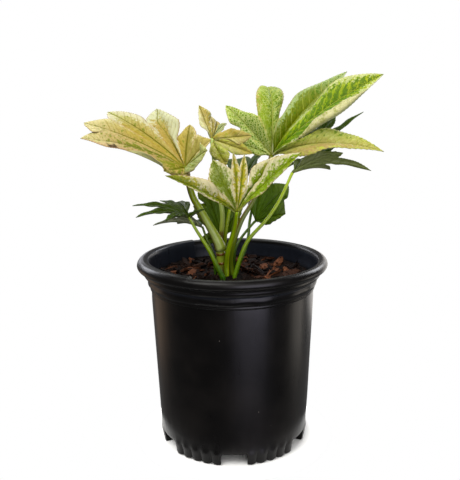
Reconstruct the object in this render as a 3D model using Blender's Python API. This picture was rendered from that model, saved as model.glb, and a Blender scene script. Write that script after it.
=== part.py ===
"""A young variegated fatsia in its black moulded nursery pot.

Metres, +Z up. The origin is on the pot's axis, on the surface that its six feet stand on.
The camera side of the plant is -Y.
"""

import math
import random
from collections import namedtuple

import bmesh
import bpy
from mathutils import Matrix, Vector
from mathutils.bvhtree import BVHTree

# Pot
POT_SIDES = 48
POT_HEIGHT = 0.163
RIM_RADIUS = 0.0825
WALL = 0.0013
SHOULDER_HEIGHT = 0.137
SHOULDER_RADIUS = 0.0706
FOOT_OUTER_RADIUS = 0.0630
FOOT_INNER_RADIUS = 0.0543
FLUTE_HEIGHT = 0.0125
FLUTE_TOP_RADIUS = 0.0654
FLOOR_HEIGHT = 0.011
FEET = 6
NOTCH_WIDTH = 0.022
NOTCH_CUT = (0.040, 0.090)
NOTCH_STEPS = 4
POCKET_RISE = 0.003
POCKET_STEPS = 6
FLUTES_PER_FOOT = 5
FLUTE_PITCH = math.radians(360 / 42)
FLUTE_RADIUS = 0.0024
FLUTE_TAPER = 0.9
FLUTE_SINK = (0.0012, 0.0014)
FLUTE_SIDES = 7
DRAIN_RADIUS = 0.004
DRAIN_CIRCLE = 0.046
DRAIN_DEPTH = 0.006
DRAIN_SIDES = 10
CLEAR = 0.002

# The pot's outline as radius and height: the band under the lip, the lip's hollow and its outside
BAND_OUTLINE = [(0.0714, 0.1378), (0.0731, 0.1446), (0.0743, 0.1473)]
LIP_HOLLOW = [
    (0.0750, 0.1590), (0.0768, 0.1615), (0.0792, 0.1614), (0.0808, 0.1590), (0.0808, 0.1560), (0.0795, 0.1538),
    (0.0757, 0.1502),
]
LIP_OUTSIDE = [
    (0.0756, 0.1486), (0.0777, 0.1499), (0.0806, 0.1530), (0.0822, 0.1557), (RIM_RADIUS, 0.1583), (0.0817, 0.1612),
    (0.0795, POT_HEIGHT), (0.0768, POT_HEIGHT), (0.0747, 0.1618), (0.0735, 0.1590),
]
LEDGE_OUTLINE = [(0.0732, 0.1500), (0.0718, 0.1488)]

# Soil
GAP = 0.0003
SOIL_HEIGHT = 0.147
SOIL_EDGE_RADIUS = 0.0711
SOIL_EDGE_DROP = 0.001
SOIL_FLAT_RADIUS = 0.058
SOIL_CROWN = 0.0003
CHIP_COUNT = 34
CHIP_LENGTHS = (0.008, 0.019)
CHIP_WIDTHS = (0.0035, 0.0065)
CHIP_THICKNESS = 0.0026
CHIP_TAPER = 0.55
CHIP_LEVELS = (-0.0006, 0.0008)
CHIP_PITCH = 0.22
CHIP_LEAN = 0.3
CHIP_CIRCLES = (0.026, 0.059)
FOOT_DEPTH = 0.011
HOLE_RINGS = 3

# Leaves
BLADE = 0.0007
RIB_FACTOR = 2.0
CROWN = 0.10
TOOTH = 0.0011
TOOTH_SPAN = (0.1, 0.92)
RIPPLE = 0.0011
RIPPLES_PER_LOBE = 2.5
RIPPLE_SHIFT = 1.7
RIPPLE_START = 3
ROLL_PACE = 1.6
WEB_SAG = 0.35
RIB_SHARES = (0.15, 0.85)
LOBE_SPREAD = 0.45

# Stalks
PETIOLE_STEPS = 11
PETIOLE_TAPER = 1.5
CURVE_PARTS = 16
SCAR_REACH = 0.0011
SEAT_GAP = 0.00036
SEAT_RISE = 0.0025
TRIM_STEP = 0.0001
TRIM_STEPS = 80
TRIM_POINTS = 24

Lobe = namedtuple(
    "Lobe", "heading rise length half_width bend fold roll skew fullness",
    defaults=(0.07, 0.22, 0.0, 0.0, 1.8),
)
Leaf = namedtuple("Leaf", "name base lobes cuts rows route radii colour heel", defaults=(LOBE_SPREAD,))

# A leaf's lobes run anticlockwise from above. Each has its heading and rise from the base in
# degrees, its length and half width, its arch as a share of its length, its fold and its roll.
# The skew makes its left half wider and its right half narrower by that share, and a fuller lobe
# stays wide nearer to its tip.
# A cut is the depth of the web between two lobes, as a share of their length, or one for each.
# The heel is how far along its outermost edges a leaf reaches its full width.
LEAVES = [
    Leaf(
        "left", (-0.039, 0.002, 0.241),
        [
            Lobe(-43, 31, 0.031, 0.012, 0.03, 0.1, 35),
            Lobe(-13, 46, 0.033, 0.009, 0.03),
            Lobe(77, 65, 0.039, 0.010, 0.03),
            Lobe(123, 44, 0.070, 0.016, 0.05),
            Lobe(155, 31, 0.090, 0.015, 0.06),
            Lobe(176, 24, 0.094, 0.014, 0.05),
            Lobe(188, 17, 0.090, 0.013, 0.06),
            Lobe(238, 0, 0.030, 0.010, 0.05, 0.0, -60),
        ],
        (0.7, 0.88, 0.45, 0.66, 0.74, 0.82, (0.5, 0.3)), (4, 6),
        [(-0.0135, 0.002, 0.179), (-0.0262, 0.002, 0.203), (-0.034, 0.002, 0.218)],
        (0.0050, 0.0034), "cream", 0.2,
    ),
    Leaf(
        "young_top", (-0.0165, 0.016, 0.264),
        [
            Lobe(-39, -55, 0.027, 0.009, 0.08, 0.1),
            Lobe(-19, -18, 0.039, 0.007, 0.1, 0.1),
            Lobe(-16, 5, 0.036, 0.009, 0.12, 0.1, 35),
            Lobe(62, 24, 0.030, 0.005),
            Lobe(81, 28, 0.030, 0.006),
            Lobe(95, 45, 0.028, 0.006),
            Lobe(133, 60, 0.033, 0.008, 0.05, 0.2, -50),
        ],
        (0.6, 0.5, 0.35, 0.5, 0.55, 0.5), (3, 5),
        [(-0.009, 0.013, 0.147), (-0.009, 0.013, 0.160), (-0.0102, 0.013, 0.173), (-0.0082, 0.011, 0.194),
         (-0.0089, 0.010, 0.206), (-0.0133, 0.012, 0.233)],
        (0.0021, 0.0015), "cream",
    ),
    Leaf(
        "right", (0.035, 0.018, 0.249),
        [
            Lobe(-18, 3, 0.096, 0.018, 0.115, 0.3, -45),
            Lobe(-9, 36, 0.115, 0.018, 0.07, 0.3, 0, 0, 3.0),
            Lobe(28, 42, 0.107, 0.018, 0.06),
            Lobe(93, 44, 0.082, 0.0145, 0.33, 0.22, 0, 0.1),
            Lobe(161, 46, 0.060, 0.0105, 0.05, 0.22, 0, 0.35),
            Lobe(176, 21, 0.032, 0.007, 0.05),
        ],
        (0.3, 0.45, 0.30, (0.12, 0.38), 0.8), (4, 7),
        [(-0.0005, 0.004, 0.147), (-0.0015, 0.004, 0.156), (-0.001, 0.002, 0.166), (0.002, 0.000, 0.178),
         (0.009, 0.001, 0.196), (0.019, 0.006, 0.212), (0.030, 0.014, 0.235)],
        (0.0024, 0.0018), "yellow_green",
    ),
    Leaf(
        "front", (0.004, -0.026, 0.207),
        [
            Lobe(-11, 43, 0.072, 0.0125, 0.04, 0.2, 30, 0.28),
            Lobe(27, 48, 0.060, 0.012, 0.05, 0.3),
            Lobe(64, 71, 0.049, 0.005),
            Lobe(102, 76, 0.050, 0.005),
            Lobe(174, 66, 0.047, 0.0175, 0.03, 0.22, 0, 0.22),
            Lobe(203, 29, 0.069, 0.0078, 0.1, 0.4, 0, -0.48),
        ],
        (0.45, 0.42, 0.42, 0.42, 0.35), (3, 6),
        [(-0.005, -0.001, 0.147), (-0.005, -0.001, 0.157), (-0.0035, -0.006, 0.170), (0.001, -0.013, 0.187),
         (0.003, -0.020, 0.198)],
        (0.0024, 0.0018), "variegated",
    ),
    Leaf(
        "lower_right", (0.053, 0.012, 0.235),
        [
            Lobe(4, 20, 0.047, 0.010, 0.1),
            Lobe(14, -1, 0.074, 0.008, 0.12),
            Lobe(44, -2, 0.052, 0.009),
            Lobe(61, 14, 0.030, 0.008),
        ],
        (0.5, 0.5, 0.5), (3, 5),
        [(0.002, -0.005, 0.147), (0.006, -0.004, 0.160), (0.011, -0.003, 0.173), (0.017, -0.002, 0.182),
         (0.031, 0.000, 0.197), (0.042, 0.005, 0.213)],
        (0.0019, 0.0013), "dark_green",
    ),
    Leaf(
        "rear_right", (0.078, 0.040, 0.249),
        [
            Lobe(-19, 19, 0.030, 0.007),
            Lobe(16, 39, 0.057, 0.003),
            Lobe(56, 50, 0.052, 0.010),
            Lobe(101, 36, 0.050, 0.009),
        ],
        (0.4, 0.4, 0.5), (3, 5),
        [(0.0042, 0.006, 0.147), (0.0062, 0.007, 0.1548), (0.0114, 0.013, 0.166), (0.0147, 0.021, 0.177),
         (0.0165, 0.032, 0.190), (0.0214, 0.041, 0.203), (0.0393, 0.050, 0.2254), (0.0538, 0.048, 0.2375)],
        (0.0015, 0.0011), "dark_green",
    ),
    Leaf(
        "middle_dark", (0.0205, 0.022, 0.190),
        [
            Lobe(-14, 16, 0.029, 0.008),
            Lobe(2, 47, 0.044, 0.010),
            Lobe(58, 64, 0.041, 0.011),
        ],
        (0.94, 0.9), (3, 5),
        [(0.001, 0.011, 0.147), (0.0016, 0.010, 0.157), (0.0025, 0.009, 0.166), (0.0057, 0.010, 0.174),
         (0.0116, 0.014, 0.1814)],
        (0.0014, 0.0011), "dark_green",
    ),
    Leaf(
        "rear_left", (-0.009, 0.026, 0.174),
        [
            Lobe(22, 56, 0.038, 0.010),
            Lobe(80, 68, 0.050, 0.012),
            Lobe(150, 66, 0.056, 0.013),
            Lobe(190, 50, 0.040, 0.010),
            Lobe(214, 4, 0.024, 0.006),
        ],
        (0.72, 0.76, 0.7, 0.45), (3, 5),
        [(-0.001, 0.021, 0.147), (-0.002, 0.022, 0.155), (-0.006, 0.025, 0.166)],
        (0.0014, 0.0011), "dark_green",
    ),
    Leaf(
        "low_left", (-0.036, -0.014, 0.201),
        [
            Lobe(-30, 27, 0.018, 0.0025),
            Lobe(108, 12, 0.038, 0.008),
            Lobe(140, 18, 0.036, 0.006),
            Lobe(190, 14, 0.048, 0.005, 0.1),
            Lobe(213, 6, 0.049, 0.005, 0.1),
            Lobe(238, 4, 0.032, 0.0045, 0.1),
        ],
        (0.2, 0.55, 0.5, 0.45, 0.45), (3, 5),
        [(-0.008, -0.011, 0.147), (-0.014, -0.012, 0.160), (-0.020, -0.013, 0.173), (-0.030, -0.014, 0.190)],
        (0.0024, 0.0012), "dark_green",
    ),
    Leaf(
        "under_left", (-0.026, 0.012, 0.188),
        [
            Lobe(112, -6, 0.038, 0.008),
            Lobe(131, -4, 0.037, 0.008),
            Lobe(170, 0, 0.045, 0.006, 0.1),
            Lobe(199, 22, 0.033, 0.007),
        ],
        (0.6, 0.55, 0.55), (3, 5),
        [(-0.015, 0.009, 0.147), (-0.0165, 0.009, 0.163), (-0.0225, 0.010, 0.178)],
        (0.0013, 0.0010), "dark_green",
    ),
    Leaf(
        "rear_centre", (0.013, 0.034, 0.228),
        [
            Lobe(53, 37, 0.034, 0.008),
            Lobe(93, 22, 0.040, 0.009),
            Lobe(130, 22, 0.037, 0.009),
        ],
        (0.5, 0.5), (3, 5),
        [(-0.008, 0.021, 0.147), (-0.0075, 0.021, 0.160), (-0.006, 0.018, 0.177), (-0.004, 0.018, 0.190),
         (-0.001, 0.020, 0.203), (0.007, 0.028, 0.218)],
        (0.0019, 0.0014), "dark_green",
    ),
]

STEM_ROUTE = [(-0.009, 0.0055, 0.147), (-0.0098, 0.0045, 0.158), (-0.0105, 0.003, 0.1692)]
STEM_RADII = (0.0042, 0.0036)
STEM_SCARS = (0.157, 0.1655)
STEM_STEPS = 12
SCAR_SWELL = 0.0006
LEAF_ON_STEM = "left"

COLOURS = {
    "pot_plastic": ((0.016, 0.016, 0.018), 0.42),
    "soil": ((0.045, 0.022, 0.012), 0.95),
    "stem": ((0.30, 0.36, 0.14), 0.55),
    "petiole": ((0.28, 0.48, 0.06), 0.45),
    "cream": ((0.72, 0.62, 0.34), 0.55),
    "yellow_green": ((0.45, 0.55, 0.12), 0.5),
    "variegated": ((0.52, 0.55, 0.28), 0.5),
    "dark_green": ((0.04, 0.10, 0.03), 0.45),
}


def clear_scene():
    for thing in list(bpy.data.objects):
        bpy.data.objects.remove(thing, do_unlink=True)


def finish_material(name):
    colour, roughness = COLOURS[name]
    material = bpy.data.materials.get(name) or bpy.data.materials.new(name)
    material.use_nodes = True
    shader = material.node_tree.nodes["Principled BSDF"]
    shader.inputs["Base Color"].default_value = (*colour, 1)
    shader.inputs["Roughness"].default_value = roughness
    shader.inputs["Metallic"].default_value = 0.0
    return material


def place(name, data, material_name=None):
    thing = bpy.data.objects.new(name, data)
    bpy.context.scene.collection.objects.link(thing)
    if material_name:
        data.materials.append(finish_material(material_name))
    return thing


def mesh_from(name, shape, smooth_angle=None):
    mesh = bpy.data.meshes.new(name)
    shape.to_mesh(mesh)
    shape.free()
    if smooth_angle is not None:
        mesh.shade_smooth()
        mesh.set_sharp_from_angle(angle=math.radians(smooth_angle))
    return mesh


def as_cutter(thing):
    thing.hide_render = True
    thing.display_type = "WIRE"
    return thing


def boolean(target, other, operation):
    modifier = target.modifiers.new(other.name, "BOOLEAN")
    modifier.operation = operation
    if isinstance(other, bpy.types.Collection):
        modifier.operand_type = "COLLECTION"
        modifier.collection = other
    else:
        modifier.object = other
    return modifier


def collection_of(name, things):
    group = bpy.data.collections.new(name)
    bpy.context.scene.collection.children.link(group)
    for thing in things:
        bpy.context.scene.collection.objects.unlink(thing)
        group.objects.link(as_cutter(thing))
    group.hide_render = True
    return group


def apply_modifiers(thing):
    graph = bpy.context.evaluated_depsgraph_get()
    result = bpy.data.meshes.new_from_object(thing.evaluated_get(graph))
    thing.modifiers.clear()
    thing.data = result


def remove_group(group):
    for thing in list(group.objects):
        bpy.data.objects.remove(thing, do_unlink=True)
    bpy.data.collections.remove(group)


def turned(profile, sides):
    """Turns an outline that starts and ends on the axis, given as (radius, height) pairs."""
    shape = bmesh.new()
    points = [shape.verts.new((radius, 0, height)) for radius, height in profile]
    for lower, upper in zip(points, points[1:]):
        shape.edges.new((lower, upper))
    bmesh.ops.spin(
        shape, geom=shape.verts[:] + shape.edges[:], cent=(0, 0, 0), axis=(0, 0, 1),
        angle=math.tau, steps=sides, use_merge=True,
    )
    bmesh.ops.remove_doubles(shape, verts=shape.verts[:], dist=0.00001)
    bmesh.ops.recalc_face_normals(shape, faces=shape.faces[:])
    return shape


def arc_block(inner, outer, low, high, middle, half_angle, steps):
    """A block bent round the axis, from one radius, height and side to the other."""
    shape = bmesh.new()
    rings = []
    for step in range(steps + 1):
        angle = middle + half_angle * (2 * step / steps - 1)
        along = Vector((math.cos(angle), math.sin(angle), 0))
        corners = [(inner, low), (outer, low), (outer, high), (inner, high)]
        rings.append([shape.verts.new(along * r + Vector((0, 0, z))) for r, z in corners])
    for before, after in zip(rings, rings[1:]):
        for corner in range(4):
            following = (corner + 1) % 4
            shape.faces.new((before[corner], after[corner], after[following], before[following]))
    shape.faces.new(rings[0])
    shape.faces.new(rings[-1][::-1])
    bmesh.ops.recalc_face_normals(shape, faces=shape.faces[:])
    return shape


def foot_angles():
    return [math.tau * k / FEET for k in range(FEET)]


def notch_half_angle():
    return NOTCH_WIDTH / 2 / FOOT_OUTER_RADIUS


def foot_half_angle():
    return math.pi / FEET - notch_half_angle()


def pot_profile():
    """The cut through the pot: raised floor, foot, wall, shoulder band and rolled lip."""
    outside = [
        (0, FLOOR_HEIGHT),
        (FOOT_INNER_RADIUS, FLOOR_HEIGHT),
        (FOOT_INNER_RADIUS, 0),
        (FOOT_OUTER_RADIUS, 0),
        (FLUTE_TOP_RADIUS, FLUTE_HEIGHT),
        (SHOULDER_RADIUS, SHOULDER_HEIGHT),
    ]
    inside = [
        (SHOULDER_RADIUS - WALL, SHOULDER_HEIGHT),
        (FLUTE_TOP_RADIUS - WALL, FLOOR_HEIGHT + WALL),
        (0, FLOOR_HEIGHT + WALL),
    ]
    return outside + BAND_OUTLINE + LIP_HOLLOW + LIP_OUTSIDE + LEDGE_OUTLINE + inside


def flute(angle):
    """A rounded rib on a foot, standing on the foot's lower edge and leaning out with it."""
    lower = Vector((FOOT_OUTER_RADIUS - FLUTE_SINK[0], 0, 0))
    upper = Vector((FLUTE_TOP_RADIUS - FLUTE_SINK[1], 0, FLUTE_HEIGHT))
    axis = upper - lower
    turn = Matrix.Rotation(angle, 4, "Z")
    lean = axis.to_track_quat("Z", "Y").to_matrix().to_4x4()
    shape = bmesh.new()
    bmesh.ops.create_cone(
        shape, cap_ends=True, segments=FLUTE_SIDES, radius1=FLUTE_RADIUS, radius2=FLUTE_RADIUS * FLUTE_TAPER,
        depth=axis.length, matrix=turn @ Matrix.Translation((lower + upper) / 2) @ lean,
    )
    highest_inside = FLOOR_HEIGHT + WALL / 2
    for point in shape.verts:
        inward = math.hypot(point.co.x, point.co.y) < upper.x
        point.co.z = max(point.co.z, 0)
        if inward:
            point.co.z = min(point.co.z, highest_inside)
    return shape


def build_pot():
    pot = place("pot", mesh_from("pot", turned(pot_profile(), POT_SIDES), 35), "pot_plastic")
    ribs = []
    for foot in foot_angles():
        for k in range(FLUTES_PER_FOOT):
            angle = foot + FLUTE_PITCH * (k - (FLUTES_PER_FOOT - 1) / 2)
            ribs.append(place("flute", mesh_from("flute", flute(angle))))
    rib_group = collection_of("flutes", ribs)
    boolean(pot, rib_group, "UNION")
    apply_modifiers(pot)
    remove_group(rib_group)
    cutters = []
    for foot in foot_angles():
        between = foot + math.pi / FEET
        notch = arc_block(*NOTCH_CUT, -CLEAR, FLOOR_HEIGHT, between, notch_half_angle(), NOTCH_STEPS)
        cutters.append(place("notch", mesh_from("notch", notch)))
        pocket = arc_block(
            FOOT_INNER_RADIUS + WALL, FOOT_OUTER_RADIUS - WALL, WALL, FLOOR_HEIGHT + POCKET_RISE,
            foot, foot_half_angle() - WALL / FOOT_OUTER_RADIUS, POCKET_STEPS,
        )
        cutters.append(place("pocket", mesh_from("pocket", pocket)))
        drain = bmesh.new()
        centre = Vector((DRAIN_CIRCLE, 0, FLOOR_HEIGHT + WALL / 2))
        bmesh.ops.create_cone(
            drain, cap_ends=True, segments=DRAIN_SIDES, radius1=DRAIN_RADIUS, radius2=DRAIN_RADIUS,
            depth=DRAIN_DEPTH, matrix=Matrix.Rotation(between, 4, "Z") @ Matrix.Translation(centre),
        )
        cutters.append(place("drain", mesh_from("drain", drain)))
    cut_group = collection_of("pot_cutters", cutters)
    boolean(pot, cut_group, "DIFFERENCE")
    apply_modifiers(pot)
    remove_group(cut_group)
    return pot


def bark_chip(draw):
    """A flat bark chip with a tapered end, half sunk in the soil."""
    length = draw.uniform(*CHIP_LENGTHS)
    width = draw.uniform(*CHIP_WIDTHS)
    radius = math.sqrt(draw.uniform(CHIP_CIRCLES[0] ** 2, CHIP_CIRCLES[1] ** 2))
    angle = draw.uniform(0, math.tau)
    height = SOIL_HEIGHT + draw.uniform(*CHIP_LEVELS)
    shape = bmesh.new()
    bmesh.ops.create_cube(shape, size=1)
    for point in shape.verts:
        taper = CHIP_TAPER if point.co.x > 0 else 1.0
        point.co = Vector((point.co.x * length, point.co.y * width * taper, point.co.z * CHIP_THICKNESS))
    turn = (
        Matrix.Translation((radius * math.cos(angle), radius * math.sin(angle), height))
        @ Matrix.Rotation(draw.uniform(0, math.tau), 4, "Z")
        @ Matrix.Rotation(draw.uniform(-CHIP_PITCH, CHIP_PITCH), 4, "Y")
        @ Matrix.Rotation(draw.uniform(-CHIP_LEAN, CHIP_LEAN), 4, "X")
    )
    bmesh.ops.transform(shape, matrix=turn, verts=shape.verts[:])
    return shape


def stem_hole(points, radii, sides_resolution=1):
    """A plain hole that follows a stalk's foot with a fine gap, open at the soil's surface."""
    wider = [radius + GAP for radius in radii]
    route = [points[0] - Vector((0, 0, GAP))] + points[1:]
    guide = tube("hole_guide", route, wider, None, sides_resolution)
    bpy.context.view_layer.update()
    shape = bpy.data.meshes.new_from_object(guide.evaluated_get(bpy.context.evaluated_depsgraph_get()))
    bpy.data.objects.remove(guide, do_unlink=True)
    merged = bmesh.new()
    merged.from_mesh(shape)
    bmesh.ops.remove_doubles(merged, verts=merged.verts[:], dist=0.00001)
    merged.to_mesh(shape)
    merged.free()
    return place("hole", shape)


def build_soil():
    profile = [
        (0, FLOOR_HEIGHT + WALL + GAP),
        (FLUTE_TOP_RADIUS - WALL - GAP, FLOOR_HEIGHT + WALL + GAP),
        (SHOULDER_RADIUS - WALL - GAP, SHOULDER_HEIGHT),
        (SOIL_EDGE_RADIUS, SOIL_HEIGHT - SOIL_EDGE_DROP),
        (SOIL_FLAT_RADIUS, SOIL_HEIGHT),
        (0, SOIL_HEIGHT + SOIL_CROWN),
    ]
    soil = place("soil", mesh_from("soil", turned(profile, POT_SIDES), 30), "soil")
    draw = random.Random(7)
    chips = [place("chip", mesh_from("chip", bark_chip(draw))) for _ in range(CHIP_COUNT)]
    chip_group = collection_of("chips", chips)
    boolean(soil, chip_group, "UNION")
    apply_modifiers(soil)
    remove_group(chip_group)
    stalks = [petiole_line(leaf) for leaf in LEAVES if leaf.name != LEAF_ON_STEM]
    holes = [stem_hole(points[:HOLE_RINGS], radii[:HOLE_RINGS]) for points, radii in stalks]
    points, radii = stem_line()
    holes.append(stem_hole([points[0], points[1], points[STEM_STEPS // 2]], radii[:1] * HOLE_RINGS, 2))
    hole_group = collection_of("holes", holes)
    boolean(soil, hole_group, "DIFFERENCE")
    apply_modifiers(soil)
    remove_group(hole_group)
    return soil


def smooth_route(points, steps):
    """Points spaced along one smooth curve through the given points."""
    knots = [Vector(p) for p in points]
    ends = [2 * knots[0] - knots[1]] + knots + [2 * knots[-1] - knots[-2]]
    dense = []
    for a, b, c, d in zip(ends, ends[1:], ends[2:], ends[3:]):
        for k in range(CURVE_PARTS):
            t = k / CURVE_PARTS
            dense.append(0.5 * (
                2 * b + (c - a) * t + (2 * a - 5 * b + 4 * c - d) * t * t + (3 * b - a - 3 * c + d) * t ** 3
            ))
    dense.append(knots[-1])
    lengths = [0.0]
    for before, after in zip(dense, dense[1:]):
        lengths.append(lengths[-1] + (after - before).length)
    route = []
    for k in range(steps + 1):
        wanted = lengths[-1] * k / steps
        index = max(i for i, length in enumerate(lengths) if length <= wanted + 1e-9)
        index = min(index, len(dense) - 2)
        share = (wanted - lengths[index]) / (lengths[index + 1] - lengths[index])
        route.append(dense[index].lerp(dense[index + 1], share))
    return route


def tube(name, points, radii, material_name=None, sides_resolution=1):
    """A round stalk along the points, with a radius for each."""
    curve = bpy.data.curves.new(name, "CURVE")
    curve.dimensions = "3D"
    curve.bevel_depth = 1.0
    curve.bevel_resolution = sides_resolution
    curve.use_fill_caps = True
    spline = curve.splines.new("POLY")
    spline.points.add(len(points) - 1)
    for point, place_at, radius in zip(spline.points, points, radii):
        point.co = (*place_at, 1)
        point.radius = radius
    return place(name, curve, material_name)


def underground(foot):
    return Vector(foot) - Vector((0, 0, FOOT_DEPTH))


def direction(heading, rise):
    heading, rise = math.radians(heading), math.radians(rise)
    return Vector((math.cos(rise) * math.cos(heading), math.cos(rise) * math.sin(heading), math.sin(rise)))


def ease(x):
    x = min(max(x, 0.0), 1.0)
    return x * x * (3 - 2 * x)


def lobe_frames(lobes):
    """For each lobe, its direction, its upper side's normal and the direction to its left."""
    ways = [direction(lobe.heading, lobe.rise) for lobe in lobes]
    webs = [before.cross(after).normalized() for before, after in zip(ways, ways[1:])]
    frames = []
    for k, way in enumerate(ways):
        near = webs[max(k - 1, 0):k + 1]
        up = sum(near, Vector())
        up = (up - way * up.dot(way)).normalized()
        frames.append((way, up, up.cross(way)))
    return frames


class Sheet:
    """The middle surface of a palmate blade, as points and triangles with its upper side out."""

    def __init__(self, leaf):
        self.leaf = leaf
        self.base = Vector(leaf.base)
        self.frames = lobe_frames(leaf.lobes)
        self.web_rows, self.tip_rows = leaf.rows
        self.rows = sum(leaf.rows)
        self.points = []
        self.faces = []
        self.ribs = []
        self.known = {}
        self.sinuses = [self.sinus(k) for k in range(len(leaf.lobes) - 1)]
        for k in range(len(leaf.lobes)):
            self.half_lobe(k, 1)
            self.half_lobe(k, -1)

    def point(self, key, position):
        if key not in self.known:
            self.known[key] = len(self.points)
            self.points.append(position)
            if key[0] == "rib":
                self.ribs.append(self.known[key])
        return self.known[key]

    def rolled(self, k, share):
        """A lobe's directions to its left and up, turned about its midrib by a share of its roll."""
        lobe = self.leaf.lobes[k]
        _, up, left = self.frames[k]
        roll = math.radians(lobe.roll) * share
        return left * math.cos(roll) + up * math.sin(roll), up * math.cos(roll) - left * math.sin(roll)

    def arch(self, k, share):
        lobe = self.leaf.lobes[k]
        return self.rolled(k, 1)[1] * (4 * lobe.bend * lobe.length * share * (1 - share))

    def rib(self, k, share):
        return self.base + self.frames[k][0] * (self.leaf.lobes[k].length * share) + self.arch(k, share)

    def sinus(self, k):
        """Where the cut between this lobe and the next ends."""
        pair = [(self.leaf.lobes[j], self.frames[j]) for j in (k, k + 1)]
        cut = self.leaf.cuts[k]
        shares = cut if isinstance(cut, tuple) else (cut / 2, cut / 2)
        cut = sum(shares)
        up = (pair[0][1][1] + pair[1][1][1]).normalized()
        spot = sum((frame[0] * lobe.length * share for (lobe, frame), share in zip(pair, shares)), Vector())
        raised = 0.0
        for lobe, (way, _, left) in pair:
            raised += lobe.fold * abs(spot.dot(left)) / 2
        arch = sum(4 * lobe.bend * lobe.length for lobe, _ in pair) / 2 * cut * (1 - cut)
        return self.base + spot + up * (raised + arch)

    def sinus_line(self, k, share):
        pair = (self.leaf.lobes[k], self.leaf.lobes[k + 1])
        up = (self.frames[k][1] + self.frames[k + 1][1]).normalized()
        sag = sum(lobe.bend * lobe.length for lobe in pair) / 2
        return self.base.lerp(self.sinuses[k], share) + up * (4 * sag * WEB_SAG * share * (1 - share))

    def free_edge(self, k, side, start, along, spread_by=LOBE_SPREAD):
        """The toothed outer edge of half a lobe, from the sinus (0) to the tip (1)."""
        lobe = self.leaf.lobes[k]
        way = self.frames[k][0]
        left, up = self.rolled(k, ease(along * ROLL_PACE))
        start_along = max((start - self.base).dot(way), 0) / lobe.length
        start_out = abs((start - self.base).dot(self.frames[k][2]))
        share = start_along + (1 - start_along) * along
        spread = ease(along / spread_by)
        half_width = lobe.half_width * (1 + side * lobe.skew)
        out = start_out * (1 - spread) + half_width * (1 - along ** lobe.fullness) * spread
        ripple = RIPPLE * math.sin(math.tau * RIPPLES_PER_LOBE * share + RIPPLE_SHIFT * k + side)
        ripple *= ease(along * RIPPLE_START) * min(1.0, out / half_width)
        return self.rib(k, min(share, 1.0)) + left * (side * out) + up * (lobe.fold * out + ripple)

    def edge(self, k, side, row):
        """The position and key of the outermost point in a row."""
        neighbour = k if side > 0 else k - 1
        has_web = 0 <= neighbour < len(self.sinuses)
        if row <= self.web_rows and has_web:
            return ("web", neighbour, row), self.sinus_line(neighbour, row / self.web_rows)
        if has_web:
            start = self.sinuses[neighbour]
            along = (row - self.web_rows) / self.tip_rows
            spot = self.free_edge(k, side, start, along)
        else:
            start = self.base
            along = row / self.rows
            spot = self.free_edge(k, side, start, along, self.leaf.heel)
        miss = start - self.free_edge(k, side, start, 0)
        spot += miss * (1 - along) ** 2
        if TOOTH_SPAN[0] < along < TOOTH_SPAN[1] and (self.rows - row) % 2:
            spot += self.frames[k][2] * (side * TOOTH) + self.frames[k][0] * TOOTH
        return ("edge", k, side, row), spot

    def rib_share(self, k, row):
        """How far along the midrib a row starts, level with the ends of the cuts on both sides."""
        reach = []
        for neighbour in (k - 1, k):
            if 0 <= neighbour < len(self.sinuses):
                way = self.frames[k][0]
                reach.append((self.sinuses[neighbour] - self.base).dot(way) / self.leaf.lobes[k].length)
        web = min(max(sum(reach) / len(reach), RIB_SHARES[0]), RIB_SHARES[1])
        if row <= self.web_rows:
            return web * row / self.web_rows
        return web + (1 - web) * (row - self.web_rows) / self.tip_rows

    def half_lobe(self, k, side):
        lines = []
        for row in range(1, self.rows):
            middle = self.rib(k, self.rib_share(k, row))
            key, outer = self.edge(k, side, row)
            up = self.frames[k][1]
            crown = up * (CROWN * (outer - middle).length)
            line = [
                self.point(("rib", k, row), middle),
                self.point(("between", k, side, row), middle.lerp(outer, 0.5) + crown),
                self.point(key, outer),
            ]
            lines.append(line)
        base = self.point(("base",), self.base)
        tip = self.point(("tip", k), self.rib(k, 1.0))
        self.faces_between([base] * 3, lines[0], side)
        for before, after in zip(lines, lines[1:]):
            self.faces_between(before, after, side)
        self.faces_between(lines[-1], [tip] * 3, side)

    def faces_between(self, before, after, side):
        for column in range(len(before) - 1):
            a, b = before[column], after[column]
            c, d = after[column + 1], before[column + 1]
            for face in ((a, b, c), (a, c, d)):
                if len(set(face)) == 3:
                    self.faces.append(face if side > 0 else face[::-1])


def build_blade(leaf):
    """The blade is a thin sheet, thicker along the ribs of its underside."""
    sheet = Sheet(leaf)
    mesh = bpy.data.meshes.new("blade_" + leaf.name)
    mesh.from_pydata(sheet.points, [], sheet.faces)
    mesh.shade_smooth()
    blade = place("blade_" + leaf.name, mesh, leaf.colour)
    thickness = blade.vertex_groups.new(name="thickness")
    thickness.add(range(len(sheet.points)), 1 / RIB_FACTOR, "REPLACE")
    thickness.add(sheet.ribs, 1.0, "REPLACE")
    solid = blade.modifiers.new("thickness", "SOLIDIFY")
    solid.thickness = BLADE * RIB_FACTOR
    solid.offset = -1
    solid.use_quality_normals = True
    solid.vertex_group = "thickness"
    return blade


def surface_of(thing):
    graph = bpy.context.evaluated_depsgraph_get()
    return BVHTree.FromObject(thing, graph)


def clear_end(points, radius, blade):
    """The petiole's points, cut back until its end lies a fine gap under the blade."""
    surface = surface_of(blade)
    end = points[-1]
    back = (points[-2] - end).normalized()
    across = back.orthogonal().normalized()
    for step in range(TRIM_STEPS):
        centre = end + back * (step * TRIM_STEP)
        ring = [centre] + [
            centre + Matrix.Rotation(math.tau * k / TRIM_POINTS, 3, back) @ across * radius
            for k in range(TRIM_POINTS)
        ]
        if min(surface.find_nearest(spot)[3] for spot in ring) > GAP:
            return points[:-1] + [centre]
    raise ValueError("the petiole finds no clear end under " + blade.name)


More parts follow.
